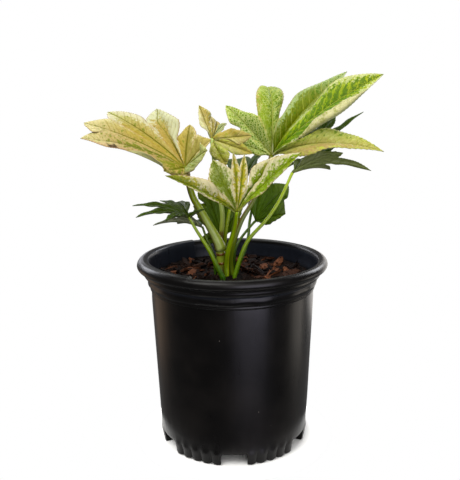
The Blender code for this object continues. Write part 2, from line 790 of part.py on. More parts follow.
def petiole_line(leaf):
    """The points and radii of a leaf's stalk, from its buried or seated foot to the blade's base."""
    foot_radius, top_radius = leaf.radii
    knots = list(leaf.route) + [leaf.base]
    if leaf.name == LEAF_ON_STEM:
        start, above = seat_on_stem()
        knots = [above] + knots
    else:
        start = underground(leaf.route[0])
    shares = [k / PETIOLE_STEPS for k in range(PETIOLE_STEPS + 1)]
    radii = [top_radius + (foot_radius - top_radius) * (1 - share) ** PETIOLE_TAPER for share in shares]
    return [start] + smooth_route(knots, PETIOLE_STEPS), [foot_radius] + radii


def build_petiole(leaf, blade):
    points, radii = petiole_line(leaf)
    points = clear_end(points, radii[-1], blade)
    return tube("petiole_" + leaf.name, points, radii, "petiole")


def stem_line():
    """The short woody stem, with a raised ring where each old leaf was."""
    points = smooth_route(STEM_ROUTE, STEM_STEPS)
    radii = []
    for k, point in enumerate(points):
        radius = STEM_RADII[0] + (STEM_RADII[1] - STEM_RADII[0]) * k / STEM_STEPS
        if min(abs(point.z - scar) for scar in STEM_SCARS) < SCAR_REACH:
            radius += SCAR_SWELL
        radii.append(radius)
    return [underground(STEM_ROUTE[0])] + points, [STEM_RADII[0]] + radii


def seat_on_stem():
    """Where the stalk on the stem's top starts, a fine gap above it, and a point straight on."""
    before, top = stem_line()[0][-2:]
    axis = (top - before).normalized()
    return top + axis * SEAT_GAP, top + axis * SEAT_RISE


def main():
    clear_scene()
    build_pot()
    build_soil()
    points, radii = stem_line()
    tube("stem", points, radii, "stem", 2)
    for leaf in LEAVES:
        blade = build_blade(leaf)
        bpy.context.view_layer.update()
        build_petiole(leaf, blade)


main()
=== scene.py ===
"""A young variegated fatsia in its black nursery pot: its finished surfaces, light and camera.

Metres, +Z up. The camera side of the plant is -Y. Leaves and stalks follow the routes of the
solids, with finer teeth, veins and colours.
"""

import math
import random
from collections import namedtuple
from contextlib import contextmanager

import bmesh
import bpy
from mathutils import Matrix, Vector, noise


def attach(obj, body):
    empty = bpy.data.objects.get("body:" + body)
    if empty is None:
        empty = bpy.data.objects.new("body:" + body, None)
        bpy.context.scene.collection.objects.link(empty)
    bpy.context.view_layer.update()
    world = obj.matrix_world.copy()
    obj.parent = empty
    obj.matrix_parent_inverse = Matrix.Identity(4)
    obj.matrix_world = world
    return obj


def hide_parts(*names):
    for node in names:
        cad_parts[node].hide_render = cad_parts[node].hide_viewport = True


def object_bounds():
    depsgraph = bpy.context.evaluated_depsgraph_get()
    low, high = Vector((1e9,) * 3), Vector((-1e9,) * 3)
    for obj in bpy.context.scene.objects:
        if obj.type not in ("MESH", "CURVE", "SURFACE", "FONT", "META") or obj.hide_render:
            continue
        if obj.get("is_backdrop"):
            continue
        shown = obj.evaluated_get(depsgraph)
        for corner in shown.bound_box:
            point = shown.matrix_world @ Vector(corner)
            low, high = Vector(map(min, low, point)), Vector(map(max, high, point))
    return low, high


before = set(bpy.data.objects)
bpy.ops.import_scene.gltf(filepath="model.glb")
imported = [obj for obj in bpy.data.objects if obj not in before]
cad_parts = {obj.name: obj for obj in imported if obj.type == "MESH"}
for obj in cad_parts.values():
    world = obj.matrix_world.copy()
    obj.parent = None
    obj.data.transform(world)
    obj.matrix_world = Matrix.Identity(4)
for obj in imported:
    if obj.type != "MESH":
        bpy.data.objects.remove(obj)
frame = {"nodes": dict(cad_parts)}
cad_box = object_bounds()

# Camera, fitted to the rim, the feet and the leaves of the photograph
LENS = 51.0
CAMERA_PLACE = (0.0, -0.5759, 0.3020)
CAMERA_PITCH = 0.2120
CAMERA_ROLL = 0.0105
CAMERA_PAN = -0.0030

# Light: names, headings and rises in degrees, powers, a sun's angle or a panel's size, and colours
LIGHT_AIM = Vector((0, 0, 0.15))
ROOM_LIGHT = 0.5
ROOM_IN_GLOSS = 0.2
PANEL_DISTANCE = 1.2
FLOOR_RADIUS = 0.086
FLOOR_FADE = 0.062
FLOOR_LEVEL = -0.0005
SUNS = [
    ("key", -128, 56, 2.7, 40, (1.0, 0.99, 0.95)),
    ("fill", -70, 30, 1.5, 70, (1.0, 0.98, 0.94)),
    ("back", 100, 60, 1.6, 50, (1.0, 1.0, 0.97)),
]
PANELS = [
    ("window", -65, 0, 17.0, 0.95, 1.1, (0.84, 0.81, 1.0)),
    ("warm_side", 150, -14, 0.9, 0.7, 0.5, (1.0, 0.66, 0.42)),
    ("right_side", 12, -14, 2.2, 0.5, 0.5, (1.0, 0.92, 0.82)),
    ("right_rear", 58, -2, 4.2, 0.9, 0.8, (1.0, 0.95, 0.90)),
    ("left_rear", 112, 8, 0.8, 0.4, 0.4, (0.92, 0.92, 1.0)),
    ("left_back", 137, 27, 6.0, 0.45, 0.45, (0.92, 0.93, 1.0)),
    ("right_back", 42, 30, 9.0, 0.5, 0.5, (0.95, 0.96, 1.0)),
]

# Pot
POT_SIDES = 420
POT_HEIGHT = 0.163
RIM_RADIUS = 0.0825
WALL = 0.0013
SHOULDER_HEIGHT = 0.137
SHOULDER_RADIUS = 0.0706
FOOT_OUTER_RADIUS = 0.0630
FOOT_INNER_RADIUS = 0.0543
FLUTE_HEIGHT = 0.0125
FLUTE_TOP_RADIUS = 0.0654
FLOOR_HEIGHT = 0.011
FEET = 6
NOTCH_WIDTH = 0.022
FLUTES_PER_FOOT = 5
FLUTE_PITCH = math.radians(360 / 42)
FLUTE_RISE = 0.0012
FLUTE_FULLNESS = 0.7
SCALLOP = 0.0012
BAND = (0.1385, 0.1485)
BAND_DENT = 0.0009
WALL_DENT = 0.0006
LIP_FOOT = 0.1495
LIP_INSIDE = 0.0765
LIP_STEP = (120, 245)
LIP_STEP_REACH = 0.0018
LIP_STEP_RISE = 0.0016
DRAIN_RADIUS = 0.004
DRAIN_CIRCLE = 0.046
POLE_RADIUS = 0.003
POT_GLOSS = 0.14

# Soil
SOIL_HEIGHT = 0.147
SOIL_RADIUS = 0.0711
SOIL_SIDES = 180
CHIP_FORMS = 9
CHIP_COUNT = 300
CHIP_LENGTHS = (0.003, 0.009)
LONG_CHIPS = 130
LONG_CHIP_LENGTHS = (0.008, 0.019)
CHIP_SINK = 0.0008
SOIL_LUMPS = 0.0011
SOIL_SWELL = 0.0011
SOIL_SINK = 0.0012
BACK_RISE = 0.0024

# No long chip lies both this near the middle and this far towards the viewer
BARE_FRONT = (0.014, -0.010)

# Leaves
LEAF_THICKNESS = 0.0005
RIB_THICKNESS = 0.0015
COLUMNS = 9
TURNED_COLUMNS = 4
CROWDING = 1.5
ROW_PITCH = 0.0015
ROLL_RATE = 1.6
CROWN = 0.4
WEB_SAG = 0.35
TOOTH_PITCH = 0.0046
TOOTH_DEPTH = 0.0010
TOOTH_OUT = 0.8
TOOTH_AHEAD = 0.6
RIPPLE = 0.0011
RIPPLES_PER_LOBE = 2.5
LOBE_SPREAD = 0.45
VEIN_PITCH = 0.0085
VEIN_SLOPE = 0.9
VEIN_CURVE = 24.0
PUCKER = 0.0007
GROOVE = 0.0004
GROOVE_WIDTH = 0.0009
MERGE_DISTANCE = 0.00001
PLANT_VALUE = 0.82

# Stalks, and how much slimmer or fuller two of them are above their feet
STALK_SIDES = 20
STALK_STEPS = 56
FOOT_DEPTH = 0.011
STALK_VIVID = 1.36
STALK_VALUE = 0.92
SLIM = {"left": 0.78, "young_top": 1.2}

Lobe = namedtuple(
    "Lobe", "heading rise length half_width bend fold roll skew fullness",
    defaults=(0.07, 0.22, 0.0, 0.0, 1.8),
)
Leaf = namedtuple("Leaf", "name base lobes cuts rows route radii heel", defaults=(LOBE_SPREAD,))

# Each leaf with the same values as its solids: its name and base, its lobes, anticlockwise from
# above, the cuts between them, its rows, the stalk's route and radii, and how soon the heel widens
LEAVES = [Leaf(name, base, [Lobe(*lobe) for lobe in lobes], *rest) for name, base, lobes, *rest in [
    ("left", (-0.039, 0.002, 0.241), [
        (-43, 31, 0.031, 0.012, 0.03, 0.1, 35),
        (-13, 46, 0.033, 0.009, 0.03),
        (77, 65, 0.039, 0.010, 0.03),
        (123, 44, 0.070, 0.016, 0.05),
        (155, 31, 0.090, 0.015, 0.06),
        (176, 24, 0.094, 0.014, 0.05),
        (188, 17, 0.090, 0.013, 0.06),
        (238, 0, 0.030, 0.010, 0.05, 0.0, -60),
    ], (0.7, 0.88, 0.45, 0.66, 0.74, 0.82, (0.5, 0.3)), (4, 6), [
        (-0.0135, 0.002, 0.179), (-0.0262, 0.002, 0.203), (-0.034, 0.002, 0.218),
    ], (0.0050, 0.0034), 0.2),
    ("young_top", (-0.0165, 0.016, 0.264), [
        (-39, -55, 0.027, 0.009, 0.08, 0.1),
        (-19, -18, 0.039, 0.007, 0.1, 0.1),
        (-16, 5, 0.036, 0.009, 0.12, 0.1, 35),
        (62, 24, 0.030, 0.005),
        (81, 28, 0.030, 0.006),
        (95, 45, 0.028, 0.006),
        (133, 60, 0.033, 0.008, 0.05, 0.2, -50),
    ], (0.6, 0.5, 0.35, 0.5, 0.55, 0.5), (3, 5), [
        (-0.009, 0.013, 0.147), (-0.009, 0.013, 0.160), (-0.0102, 0.013, 0.173),
        (-0.0082, 0.011, 0.194), (-0.0089, 0.010, 0.206), (-0.0133, 0.012, 0.233),
    ], (0.0021, 0.0015)),
    ("right", (0.035, 0.018, 0.249), [
        (-18, 3, 0.096, 0.018, 0.115, 0.3, -45),
        (-9, 36, 0.115, 0.018, 0.07, 0.3, 0, 0, 3.0),
        (28, 42, 0.107, 0.018, 0.06),
        (93, 44, 0.082, 0.0145, 0.33, 0.22, 0, 0.1),
        (161, 46, 0.060, 0.0105, 0.05, 0.22, 0, 0.35),
        (176, 21, 0.032, 0.007, 0.05),
    ], (0.3, 0.45, 0.30, (0.12, 0.38), 0.8), (4, 7), [
        (-0.0005, 0.004, 0.147), (-0.0015, 0.004, 0.156), (-0.001, 0.002, 0.166),
        (0.002, 0.000, 0.178), (0.009, 0.001, 0.196), (0.019, 0.006, 0.212),
        (0.030, 0.014, 0.235),
    ], (0.0024, 0.0018)),
    ("front", (0.004, -0.026, 0.207), [
        (-11, 43, 0.072, 0.0125, 0.04, 0.2, 30, 0.28),
        (27, 48, 0.060, 0.012, 0.05, 0.3),
        (64, 71, 0.049, 0.005),
        (102, 76, 0.050, 0.005),
        (174, 66, 0.047, 0.0175, 0.03, 0.22, 0, 0.22),
        (203, 29, 0.069, 0.0078, 0.1, 0.4, 0, -0.48),
    ], (0.45, 0.42, 0.42, 0.42, 0.35), (3, 6), [
        (-0.005, -0.001, 0.147), (-0.005, -0.001, 0.157), (-0.0035, -0.006, 0.170),
        (0.001, -0.013, 0.187), (0.003, -0.020, 0.198),
    ], (0.0024, 0.0018)),
    ("lower_right", (0.053, 0.012, 0.235), [
        (4, 20, 0.047, 0.010, 0.1),
        (14, -1, 0.074, 0.008, 0.12),
        (44, -2, 0.052, 0.009),
        (61, 14, 0.030, 0.008),
    ], (0.5, 0.5, 0.5), (3, 5), [
        (0.002, -0.005, 0.147), (0.006, -0.004, 0.160), (0.011, -0.003, 0.173),
        (0.017, -0.002, 0.182), (0.031, 0.000, 0.197), (0.042, 0.005, 0.213),
    ], (0.0019, 0.0013)),
    ("rear_right", (0.078, 0.040, 0.249), [
        (-19, 19, 0.030, 0.007),
        (16, 39, 0.057, 0.003),
        (56, 50, 0.052, 0.010),
        (101, 36, 0.050, 0.009),
    ], (0.4, 0.4, 0.5), (3, 5), [
        (0.0042, 0.006, 0.147), (0.0062, 0.007, 0.1548), (0.0114, 0.013, 0.166),
        (0.0147, 0.021, 0.177), (0.0165, 0.032, 0.190), (0.0214, 0.041, 0.203),
        (0.0393, 0.050, 0.2254), (0.0538, 0.048, 0.2375),
    ], (0.0015, 0.0011)),
    ("middle_dark", (0.0205, 0.022, 0.190), [
        (-14, 16, 0.029, 0.008),
        (2, 47, 0.044, 0.010),
        (58, 64, 0.041, 0.011),
    ], (0.94, 0.9), (3, 5), [
        (0.001, 0.011, 0.147), (0.0016, 0.010, 0.157), (0.0025, 0.009, 0.166),
        (0.0057, 0.010, 0.174), (0.0116, 0.014, 0.1814),
    ], (0.0014, 0.0011)),
    ("rear_left", (-0.009, 0.026, 0.174), [
        (22, 56, 0.038, 0.010),
        (80, 68, 0.050, 0.012),
        (150, 66, 0.056, 0.013),
        (190, 50, 0.040, 0.010),
        (214, 4, 0.024, 0.006),
    ], (0.72, 0.76, 0.7, 0.45), (3, 5), [
        (-0.001, 0.021, 0.147), (-0.002, 0.022, 0.155), (-0.006, 0.025, 0.166),
    ], (0.0014, 0.0011)),
    ("low_left", (-0.036, -0.014, 0.201), [
        (-30, 27, 0.018, 0.0025),
        (108, 12, 0.038, 0.008),
        (140, 18, 0.036, 0.006),
        (190, 14, 0.048, 0.005, 0.1),
        (213, 6, 0.049, 0.005, 0.1),
        (238, 4, 0.032, 0.0045, 0.1),
    ], (0.2, 0.55, 0.5, 0.45, 0.45), (3, 5), [
        (-0.008, -0.011, 0.147), (-0.014, -0.012, 0.160), (-0.020, -0.013, 0.173),
        (-0.030, -0.014, 0.190),
    ], (0.0024, 0.0012)),
    ("under_left", (-0.026, 0.012, 0.188), [
        (112, -6, 0.038, 0.008),
        (131, -4, 0.037, 0.008),
        (170, 0, 0.045, 0.006, 0.1),
        (199, 22, 0.033, 0.007),
    ], (0.6, 0.55, 0.55), (3, 5), [
        (-0.015, 0.009, 0.147), (-0.0165, 0.009, 0.163), (-0.0225, 0.010, 0.178),
    ], (0.0013, 0.0010)),
    ("rear_centre", (0.013, 0.034, 0.228), [
        (53, 37, 0.034, 0.008),
        (93, 22, 0.040, 0.009),
        (130, 22, 0.037, 0.009),
    ], (0.5, 0.5), (3, 5), [
        (-0.008, 0.021, 0.147), (-0.0075, 0.021, 0.160), (-0.006, 0.018, 0.177),
        (-0.004, 0.018, 0.190), (-0.001, 0.020, 0.203), (0.007, 0.028, 0.218),
    ], (0.0019, 0.0014)),
]]

STEM_ROUTE = [(-0.009, 0.0055, 0.147), (-0.0098, 0.0045, 0.158), (-0.0105, 0.003, 0.1692)]
STEM_RADII = (0.0042, 0.0036)
STEM_SCARS = (0.157, 0.1655)
SCAR_SWELL = 0.0006
LEAF_ON_STEM = "left"

# Leaf colours
TAN = (0.43, 0.315, 0.08)
STRAW = (0.40, 0.31, 0.06)
FAWN = (0.44, 0.36, 0.11)
CREAM = (0.60, 0.54, 0.27)
WHITE = (0.60, 0.55, 0.36)
MILK = (0.62, 0.61, 0.34)
PALE_GREEN = (0.46, 0.48, 0.19)
PINK_CREAM = (0.47, 0.355, 0.14)
GREY_GREEN = (0.29, 0.34, 0.14)
OLIVE = (0.38, 0.34, 0.06)
LIME = (0.45, 0.50, 0.10)
SPRING = (0.35, 0.43, 0.06)
GRASS = (0.22, 0.34, 0.015)
SAGE = (0.33, 0.42, 0.19)
MOSS = (0.11, 0.22, 0.004)
BRONZE = (0.17, 0.20, 0.012)
HEART = (0.16, 0.21, 0.030)
DEEP = (0.044, 0.085, 0.005)
INK = (0.030, 0.050, 0.006)
FERN = (0.058, 0.115, 0.004)
LEAF_SHADE = (0.075, 0.120, 0.008)
PALE_SHADE = (0.11, 0.14, 0.06)
BURNT = (0.035, 0.012, 0.010)
NO_RIM = (2.0, 2.0)

# Leaves that are greener round the base
HEARTS = ("right", "front")

# How much further out pale margins start at the base of a leaf, and where along a lobe that ends
WEB_CLEAR = {"left": (0.8, 0.52), "front": (0.8, 0.42)}
PLAIN_CLEAR = (0.35, 0.286)

# How a lobe is coloured: its left and right halves, its tip, its margins and how far out from
# the midrib they start on each side and at the tip, the share of blotches along the midrib, on
# the left margin, on the right one and at the tip, and the share of the fine pale net
Paint = namedtuple(
    "Paint", "left right tip rim starts blotch net", defaults=(CREAM, NO_RIM, (0.0, 0.0, 0.0), 0.0)
)

PAINTS = {name: [Paint(*row) for row in rows] for name, rows in {
    "left": [
        (GREY_GREEN, GREY_GREEN, PALE_GREEN, PALE_GREEN, (0.8, 0.8), (0.35, 0.3, 0.3), 0.3),
        ((0.34, 0.30, 0.08), (0.34, 0.30, 0.08), FAWN, CREAM, (0.9, 0.9), (0.1, 0.0, 0.0)),
        (STRAW, (0.36, 0.32, 0.09), FAWN, CREAM, (1.0, 0.9), (0.15, 0.0, 0.0)),
        (TAN, FAWN, PALE_GREEN, (0.53, 0.54, 0.34), (0.74, 0.16, -0.05), (0.2, 0.05, 0.0), 0.25),
        (STRAW, FAWN, PALE_GREEN, (0.57, 0.54, 0.34), (1.2, 0.74, 0.22), (0.25, 0.15, 0.0), 0.25),
        (PINK_CREAM, STRAW, CREAM, CREAM, (1.1, 1.0, 0.62), (0.25, 0.35, 0.1), 0.2),
        (PINK_CREAM, PINK_CREAM, CREAM, (0.54, 0.38, 0.22),
         (0.72, 1.0), (0.78, 0.45, 0.5, 0.32), 0.2),
        (PINK_CREAM, STRAW, PINK_CREAM, (0.52, 0.38, 0.20), (0.7, 0.8), (0.62, 0.55, 0.6)),
    ],
    "young_top": [
        ((0.24, 0.30, 0.025), (0.28, 0.31, 0.03), OLIVE, LIME, (0.7, 0.7), (0.2, 0.2, 0.2), 0.5),
        (OLIVE, (0.52, 0.50, 0.19), STRAW, LIME, (0.8, 0.8), (0.2, 0.1, 0.1), 0.2),
        (STRAW, (0.54, 0.50, 0.20), FAWN, FAWN, (0.8, 0.8), (0.3, 0.15, 0.1)),
        (GREY_GREEN, GREY_GREEN, PALE_GREEN),
        (STRAW, FAWN, FAWN, CREAM, (0.8, 0.8), (0.2, 0.0, 0.0)),
        (STRAW, FAWN, CREAM, CREAM, (0.7, 0.7), (0.25, 0.0, 0.0)),
        (CREAM, STRAW, FAWN, MILK, (0.5, 0.8), (0.2, 0.0, 0.25)),
    ],
    "right": [
        ((0.42, 0.46, 0.13), (0.42, 0.32, 0.14), (0.45, 0.42, 0.13), LIME,
         (0.90, 0.93), (0.15, 0.42, 0.15), 0.38),
        ((0.31, 0.43, 0.02), (0.15, 0.27, 0.004), (0.42, 0.48, 0.07), (0.57, 0.60, 0.30),
         (0.80, 0.97, 0.55), (0.66, 0.52, 0.5), 0.05),
        (HEART, BRONZE, SAGE, SAGE, (0.66, 0.85), (0.35, 0.1, 0.35), 0.2),
        ((0.24, 0.34, 0.03), (0.11, 0.19, 0.008), SPRING, PINK_CREAM,
         (0.92, 0.97), (0.35, 0.15, 0.5), 0.55),
        (MOSS, MOSS, GRASS, LIME, (0.95, 0.95), (0.3, 0.2, 0.2), 1.0),
        (MOSS, MOSS, GRASS, LIME, (0.95, 0.95), (0.3, 0.2, 0.2), 1.0),
    ],
    "front": [
        ((0.20, 0.30, 0.03), (0.20, 0.30, 0.03), (0.24, 0.34, 0.03), WHITE,
         (0.38, 0.95), (0.5, 0.4, 0.4), 0.3),
        ((0.19, 0.26, 0.03), (0.19, 0.27, 0.03), FAWN, WHITE, (0.36, 0.42), (0.45, 0.4, 0.4), 0.2),
        (OLIVE, OLIVE, FAWN, WHITE, (0.50, 0.55), (0.35, 0.2, 0.2)),
        (OLIVE, OLIVE, FAWN, WHITE, (0.55, 0.50), (0.35, 0.2, 0.2)),
        (HEART, HEART, BRONZE, WHITE, (0.90, 0.50), (0.5, 0.4, 0.3), 0.45),
        (BRONZE, OLIVE, BRONZE, WHITE, (0.50, 0.22, 1.1), (0.45, 0.45, 0.2), 0.3),
    ],
}.items()}

# What is the same all over a leaf: the colours of blotches, of the net, of side veins and their
# strength, of midribs and half their width, of the very edge and of the underside, then roughness,
# gloss, the strength of the colours and how ragged the borders between them are
Finish = namedtuple(
    "Finish",
    "blotch fleck vein vein_share rib rib_half line under roughness gloss vivid ragged slot",
)

FINISHES = {
    "left": Finish(
        (0.15, 0.19, 0.006), CREAM, (0.38, 0.30, 0.05), 0.45,
        (0.22, 0.22, 0.02), 0.0009, (0.46, 0.28, 0.13), (0.43, 0.44, 0.21),
        0.5, 0.12, 1.07, 0.4, "cream",
    ),
    "young_top": Finish(
        (0.28, 0.31, 0.04), CREAM, (0.56, 0.52, 0.20), 0.5,
        (0.34, 0.32, 0.04), 0.00045, (0.50, 0.36, 0.14), GREY_GREEN,
        0.5, 0.12, 1.07, 0.4, "cream",
    ),
    "right": Finish(
        (0.075, 0.165, 0.002), (0.58, 0.62, 0.28), (0.46, 0.50, 0.12), 0.7,
        (0.46, 0.50, 0.15), 0.0005, (0.46, 0.42, 0.15), (0.56, 0.60, 0.36),
        0.46, 0.12, 1.15, 0.4, "yellow_green",
    ),
    "front": Finish(
        (0.12, 0.17, 0.022), (0.50, 0.54, 0.27), (0.30, 0.34, 0.10), 0.5,
        (0.30, 0.36, 0.05), 0.0005, (0.46, 0.30, 0.15), PALE_GREEN,
        0.46, 0.12, 1.15, 0.6, "variegated",
    ),
}

# The plain green leaves: the colours of a lobe's halves and tip, of blotches, side veins, midribs,
# the edge and the underside, then roughness, gloss and the strength of the colours
PLAIN_LEAVES = {
    "lower_right": (
        (0.26, 0.32, 0.11), (0.15, 0.20, 0.04), (0.24, 0.30, 0.08), LEAF_SHADE, (0.17, 0.22, 0.05),
        (0.22, 0.28, 0.08), LEAF_SHADE, (0.20, 0.23, 0.08), 0.42, 0.30, 1.2,
    ),
    "rear_right": (
        DEEP, DEEP, DEEP, DEEP, (0.07, 0.12, 0.02),
        (0.12, 0.17, 0.03), DEEP, PALE_SHADE, 0.48, 0.12, 1.25,
    ),
    "middle_dark": (
        FERN, FERN, LEAF_SHADE, INK, (0.060, 0.115, 0.008),
        (0.075, 0.13, 0.01), DEEP, PALE_SHADE, 0.48, 0.10, 1.25,
    ),
    "rear_left": (
        (0.075, 0.14, 0.004), (0.075, 0.14, 0.004), (0.16, 0.20, 0.02), DEEP, (0.10, 0.16, 0.015),
        (0.12, 0.18, 0.02), LEAF_SHADE, PALE_SHADE, 0.5, 0.10, 1.25,
    ),
    "low_left": (
        INK, INK, DEEP, INK, (0.050, 0.075, 0.012),
        (0.08, 0.11, 0.02), INK, (0.13, 0.14, 0.095), 0.4, 0.08, 1.3,
    ),
    "under_left": (
        DEEP, DEEP, DEEP, DEEP, (0.06, 0.10, 0.02),
        (0.10, 0.14, 0.05), DEEP, (0.42, 0.43, 0.32), 0.5, 0.12, 1.25,
    ),
    "rear_centre": (
        DEEP, DEEP, DEEP, DEEP, (0.06, 0.10, 0.02),
        (0.09, 0.13, 0.03), DEEP, PALE_SHADE, 0.5, 0.12, 1.25,
    ),
}
for name, (left, right, tip, blotch, vein, rib, line, under, *sheen) in PLAIN_LEAVES.items():
    PAINTS[name] = [Paint(left, right, tip)] * 6
    FINISHES[name] = Finish(
        blotch, LIME, vein, 0.6, rib, 0.0005, line, under, *sheen, 0.4, "dark_green"
    )

# A lobe whose right margin is turned up and back: its leaf and lobe, then the strip's width, arch,
# height over the blade, stretch of the lobe and colour, painted lighter than the rest of the
# underside as painted light
TURNED_LEAF = "right"
TURNED_LOBE = 1
TURNED_WIDTH = 0.0078
TURNED_ARCH = 0.0012
TURNED_LIFT = 0.0008
TURNED_FROM = 0.29
TURNED_TO = 0.86
TURNED_PAINTED_LIGHT_COLOUR = (0.74, 0.75, 0.56)

# A lobe whose midrib bows to its left: its leaf, lobe and how far
BOWED_LEAF = "left"
BOWED_LOBE = 3
BOW = 0.0050

# A scorched bit of margin: its leaf, lobe, side, place along the lobe and half length
SCORCH_LEAF = "left"
SCORCH_LOBE = 6
SCORCH_SIDE = 1
SCORCH_ALONG = 0.78
SCORCH_HALF = 0.036

# Stalk colours at the foot and the top, and on the left and right edges, as the photo shows them
# The right edges carry a painted highlight and the front stalk's left edge painted shade; the brown
# left edges of two stalks are their own stripes
StalkPaint = namedtuple("StalkPaint", "foot top left right", defaults=(None, None))
STALKS = {name: StalkPaint(*tones) for name, tones in {
    # The left leaf's stalk is painted darker towards its top, as painted shade
    "left": ((0.34, 0.39, 0.19), (0.15, 0.18, 0.035), (0.070, 0.055, 0.02), (0.26, 0.31, 0.09)),
    "young_top": ((0.16, 0.18, 0.02), (0.44, 0.52, 0.24)),
    "right": ((0.08, 0.12, 0.010), (0.13, 0.15, 0.02), (0.11, 0.065, 0.03), (0.15, 0.19, 0.035)),
    "front": ((0.11, 0.17, 0.008), (0.26, 0.40, 0.02), (0.10, 0.14, 0.010), (0.30, 0.36, 0.10)),
    "lower_right": ((0.08, 0.16, 0.004), (0.35, 0.47, 0.002)),
    "rear_right": ((0.035, 0.085, 0.008), (0.08, 0.15, 0.008)),
    "middle_dark": ((0.03, 0.06, 0.008), (0.06, 0.11, 0.012)),
    "rear_left": ((0.03, 0.07, 0.008), (0.08, 0.13, 0.012)),
    "low_left": ((0.025, 0.085, 0.003), (0.22, 0.32, 0.005)),
    "under_left": ((0.03, 0.07, 0.008), (0.10, 0.16, 0.012)),
    "rear_centre": ((0.23, 0.32, 0.010), (0.34, 0.46, 0.010)),
}.items()}

# A brown sheath round one stalk: its leaf, its lowest and highest points and its colour
SHEATH = "young_top"
SHEATH_HEIGHTS = (0.172, 0.184)
SHEATH_BROWN = (0.105, 0.060, 0.028)


def ease(x):
    x = min(max(x, 0.0), 1.0)
    return x * x * (3 - 2 * x)


def mixed(first, second, share):
    return tuple(a + (b - a) * share for a, b in zip(first, second))


def direction(heading, rise):
    heading, rise = math.radians(heading), math.radians(rise)
    return Vector((
        math.cos(rise) * math.cos(heading), math.cos(rise) * math.sin(heading), math.sin(rise)
    ))


def smooth_route(points, steps):
    """Points spaced along one smooth curve through the given points."""
    knots = [Vector(p) for p in points]
    ends = [2 * knots[0] - knots[1]] + knots + [2 * knots[-1] - knots[-2]]
    dense = []
    for a, b, c, d in zip(ends, ends[1:], ends[2:], ends[3:]):
        for k in range(16):
            t = k / 16
            dense.append(0.5 * (
                2 * b + (c - a) * t + (2 * a - 5 * b + 4 * c - d) * t * t
                + (3 * b - a - 3 * c + d) * t ** 3
            ))
    dense.append(knots[-1])
    lengths = [0.0]
    for before, after in zip(dense, dense[1:]):
        lengths.append(lengths[-1] + (after - before).length)
    route = []
    index = 0
    for k in range(steps + 1):
        wanted = lengths[-1] * k / steps
        while index < len(dense) - 2 and lengths[index + 1] < wanted:
            index += 1
        share = (wanted - lengths[index]) / (lengths[index + 1] - lengths[index])
        route.append(dense[index].lerp(dense[index + 1], share))
    return route


def deselect():
    bpy.ops.object.select_all(action="DESELECT")


def choose(thing):
    deselect()
    thing.select_set(True)
    bpy.context.view_layer.objects.active = thing


def named(name):
    """The piece that was just made, under its name."""
    piece = bpy.context.object
    piece.name = piece.data.name = name
    return piece


@contextmanager
def editing(thing):
    """Edit mode, with all of a piece selected at first."""
    choose(thing)
    bpy.ops.object.mode_set(mode="EDIT")
    bpy.ops.mesh.select_all(action="SELECT")
    yield
    bpy.ops.object.mode_set(mode="OBJECT")


def apply_all(thing):
    choose(thing)
    for modifier in list(thing.modifiers):
        bpy.ops.object.modifier_apply(modifier=modifier.name)


def join(things, name):
    choose(things[0])
    for thing in things:
        thing.select_set(True)
    bpy.ops.object.join()
    return named(name)


def merge(thing):
    with editing(thing):
        bpy.ops.mesh.remove_doubles(threshold=MERGE_DISTANCE)


def smooth(thing, angle):
    choose(thing)
    bpy.ops.object.shade_smooth_by_angle(angle=math.radians(angle))


def give_colours(mesh, name, colours):
    layer = mesh.color_attributes.new(name, "FLOAT_COLOR", "POINT")
    layer.data.foreach_set("color", [value for colour in colours for value in (*colour, 1.0)])


def give_values(mesh, name, kind, values):
    layer = mesh.attributes.new(name, kind, "POINT")
    if kind == "FLOAT":
        layer.data.foreach_set("value", values)
    else:
        layer.data.foreach_set("vector", [number for vector in values for number in vector])


def give_uv(mesh, pairs):
    """The map that patterns follow, from a pair of numbers for each point of the mesh."""
    layer = mesh.uv_layers.active or mesh.uv_layers.new(name="UVMap")
    for loop in mesh.loops:
        layer.data[loop.index].uv = pairs[loop.vertex_index]


def dress(piece, material, slot, *nodes):
    """Finishes a piece: its material, the body it rides on and the solids that it stands for."""
    piece.data.materials.clear()
    piece.data.materials.append(material)
    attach(piece, "root")
    if nodes:
        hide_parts(*nodes)
    return piece


def sum_of_two(operation, turned_round=False):
    def work(socket, other):
        first, second = (other, socket) if turned_round else (socket, other)
        return socket.shader.node("ShaderNodeMath", {"operation": operation}, {0: first, 1: second})

    return work


class Socket:
    """A shader socket that takes part in sums."""

    __add__ = __radd__ = sum_of_two("ADD")
    __mul__ = __rmul__ = sum_of_two("MULTIPLY")
    __sub__ = sum_of_two("SUBTRACT")
    __rsub__ = sum_of_two("SUBTRACT", turned_round=True)
    __truediv__ = sum_of_two("DIVIDE")

    def __init__(self, shader, socket):
        self.shader = shader
        self.socket = socket

    def __abs__(self):
        return self.maths("ABSOLUTE")

    def maths(self, operation):
        """A sum on this value alone, such as its sine."""
        return self.shader.node("ShaderNodeMath", {"operation": operation}, {0: self})

    def step(self, low, high):
        """Rises smoothly from 0 at low to 1 at high."""
        return self.shader.node(
            "ShaderNodeMapRange", {"interpolation_type": "SMOOTHSTEP"},
            {"Value": self, 1: low, 2: high}
        )


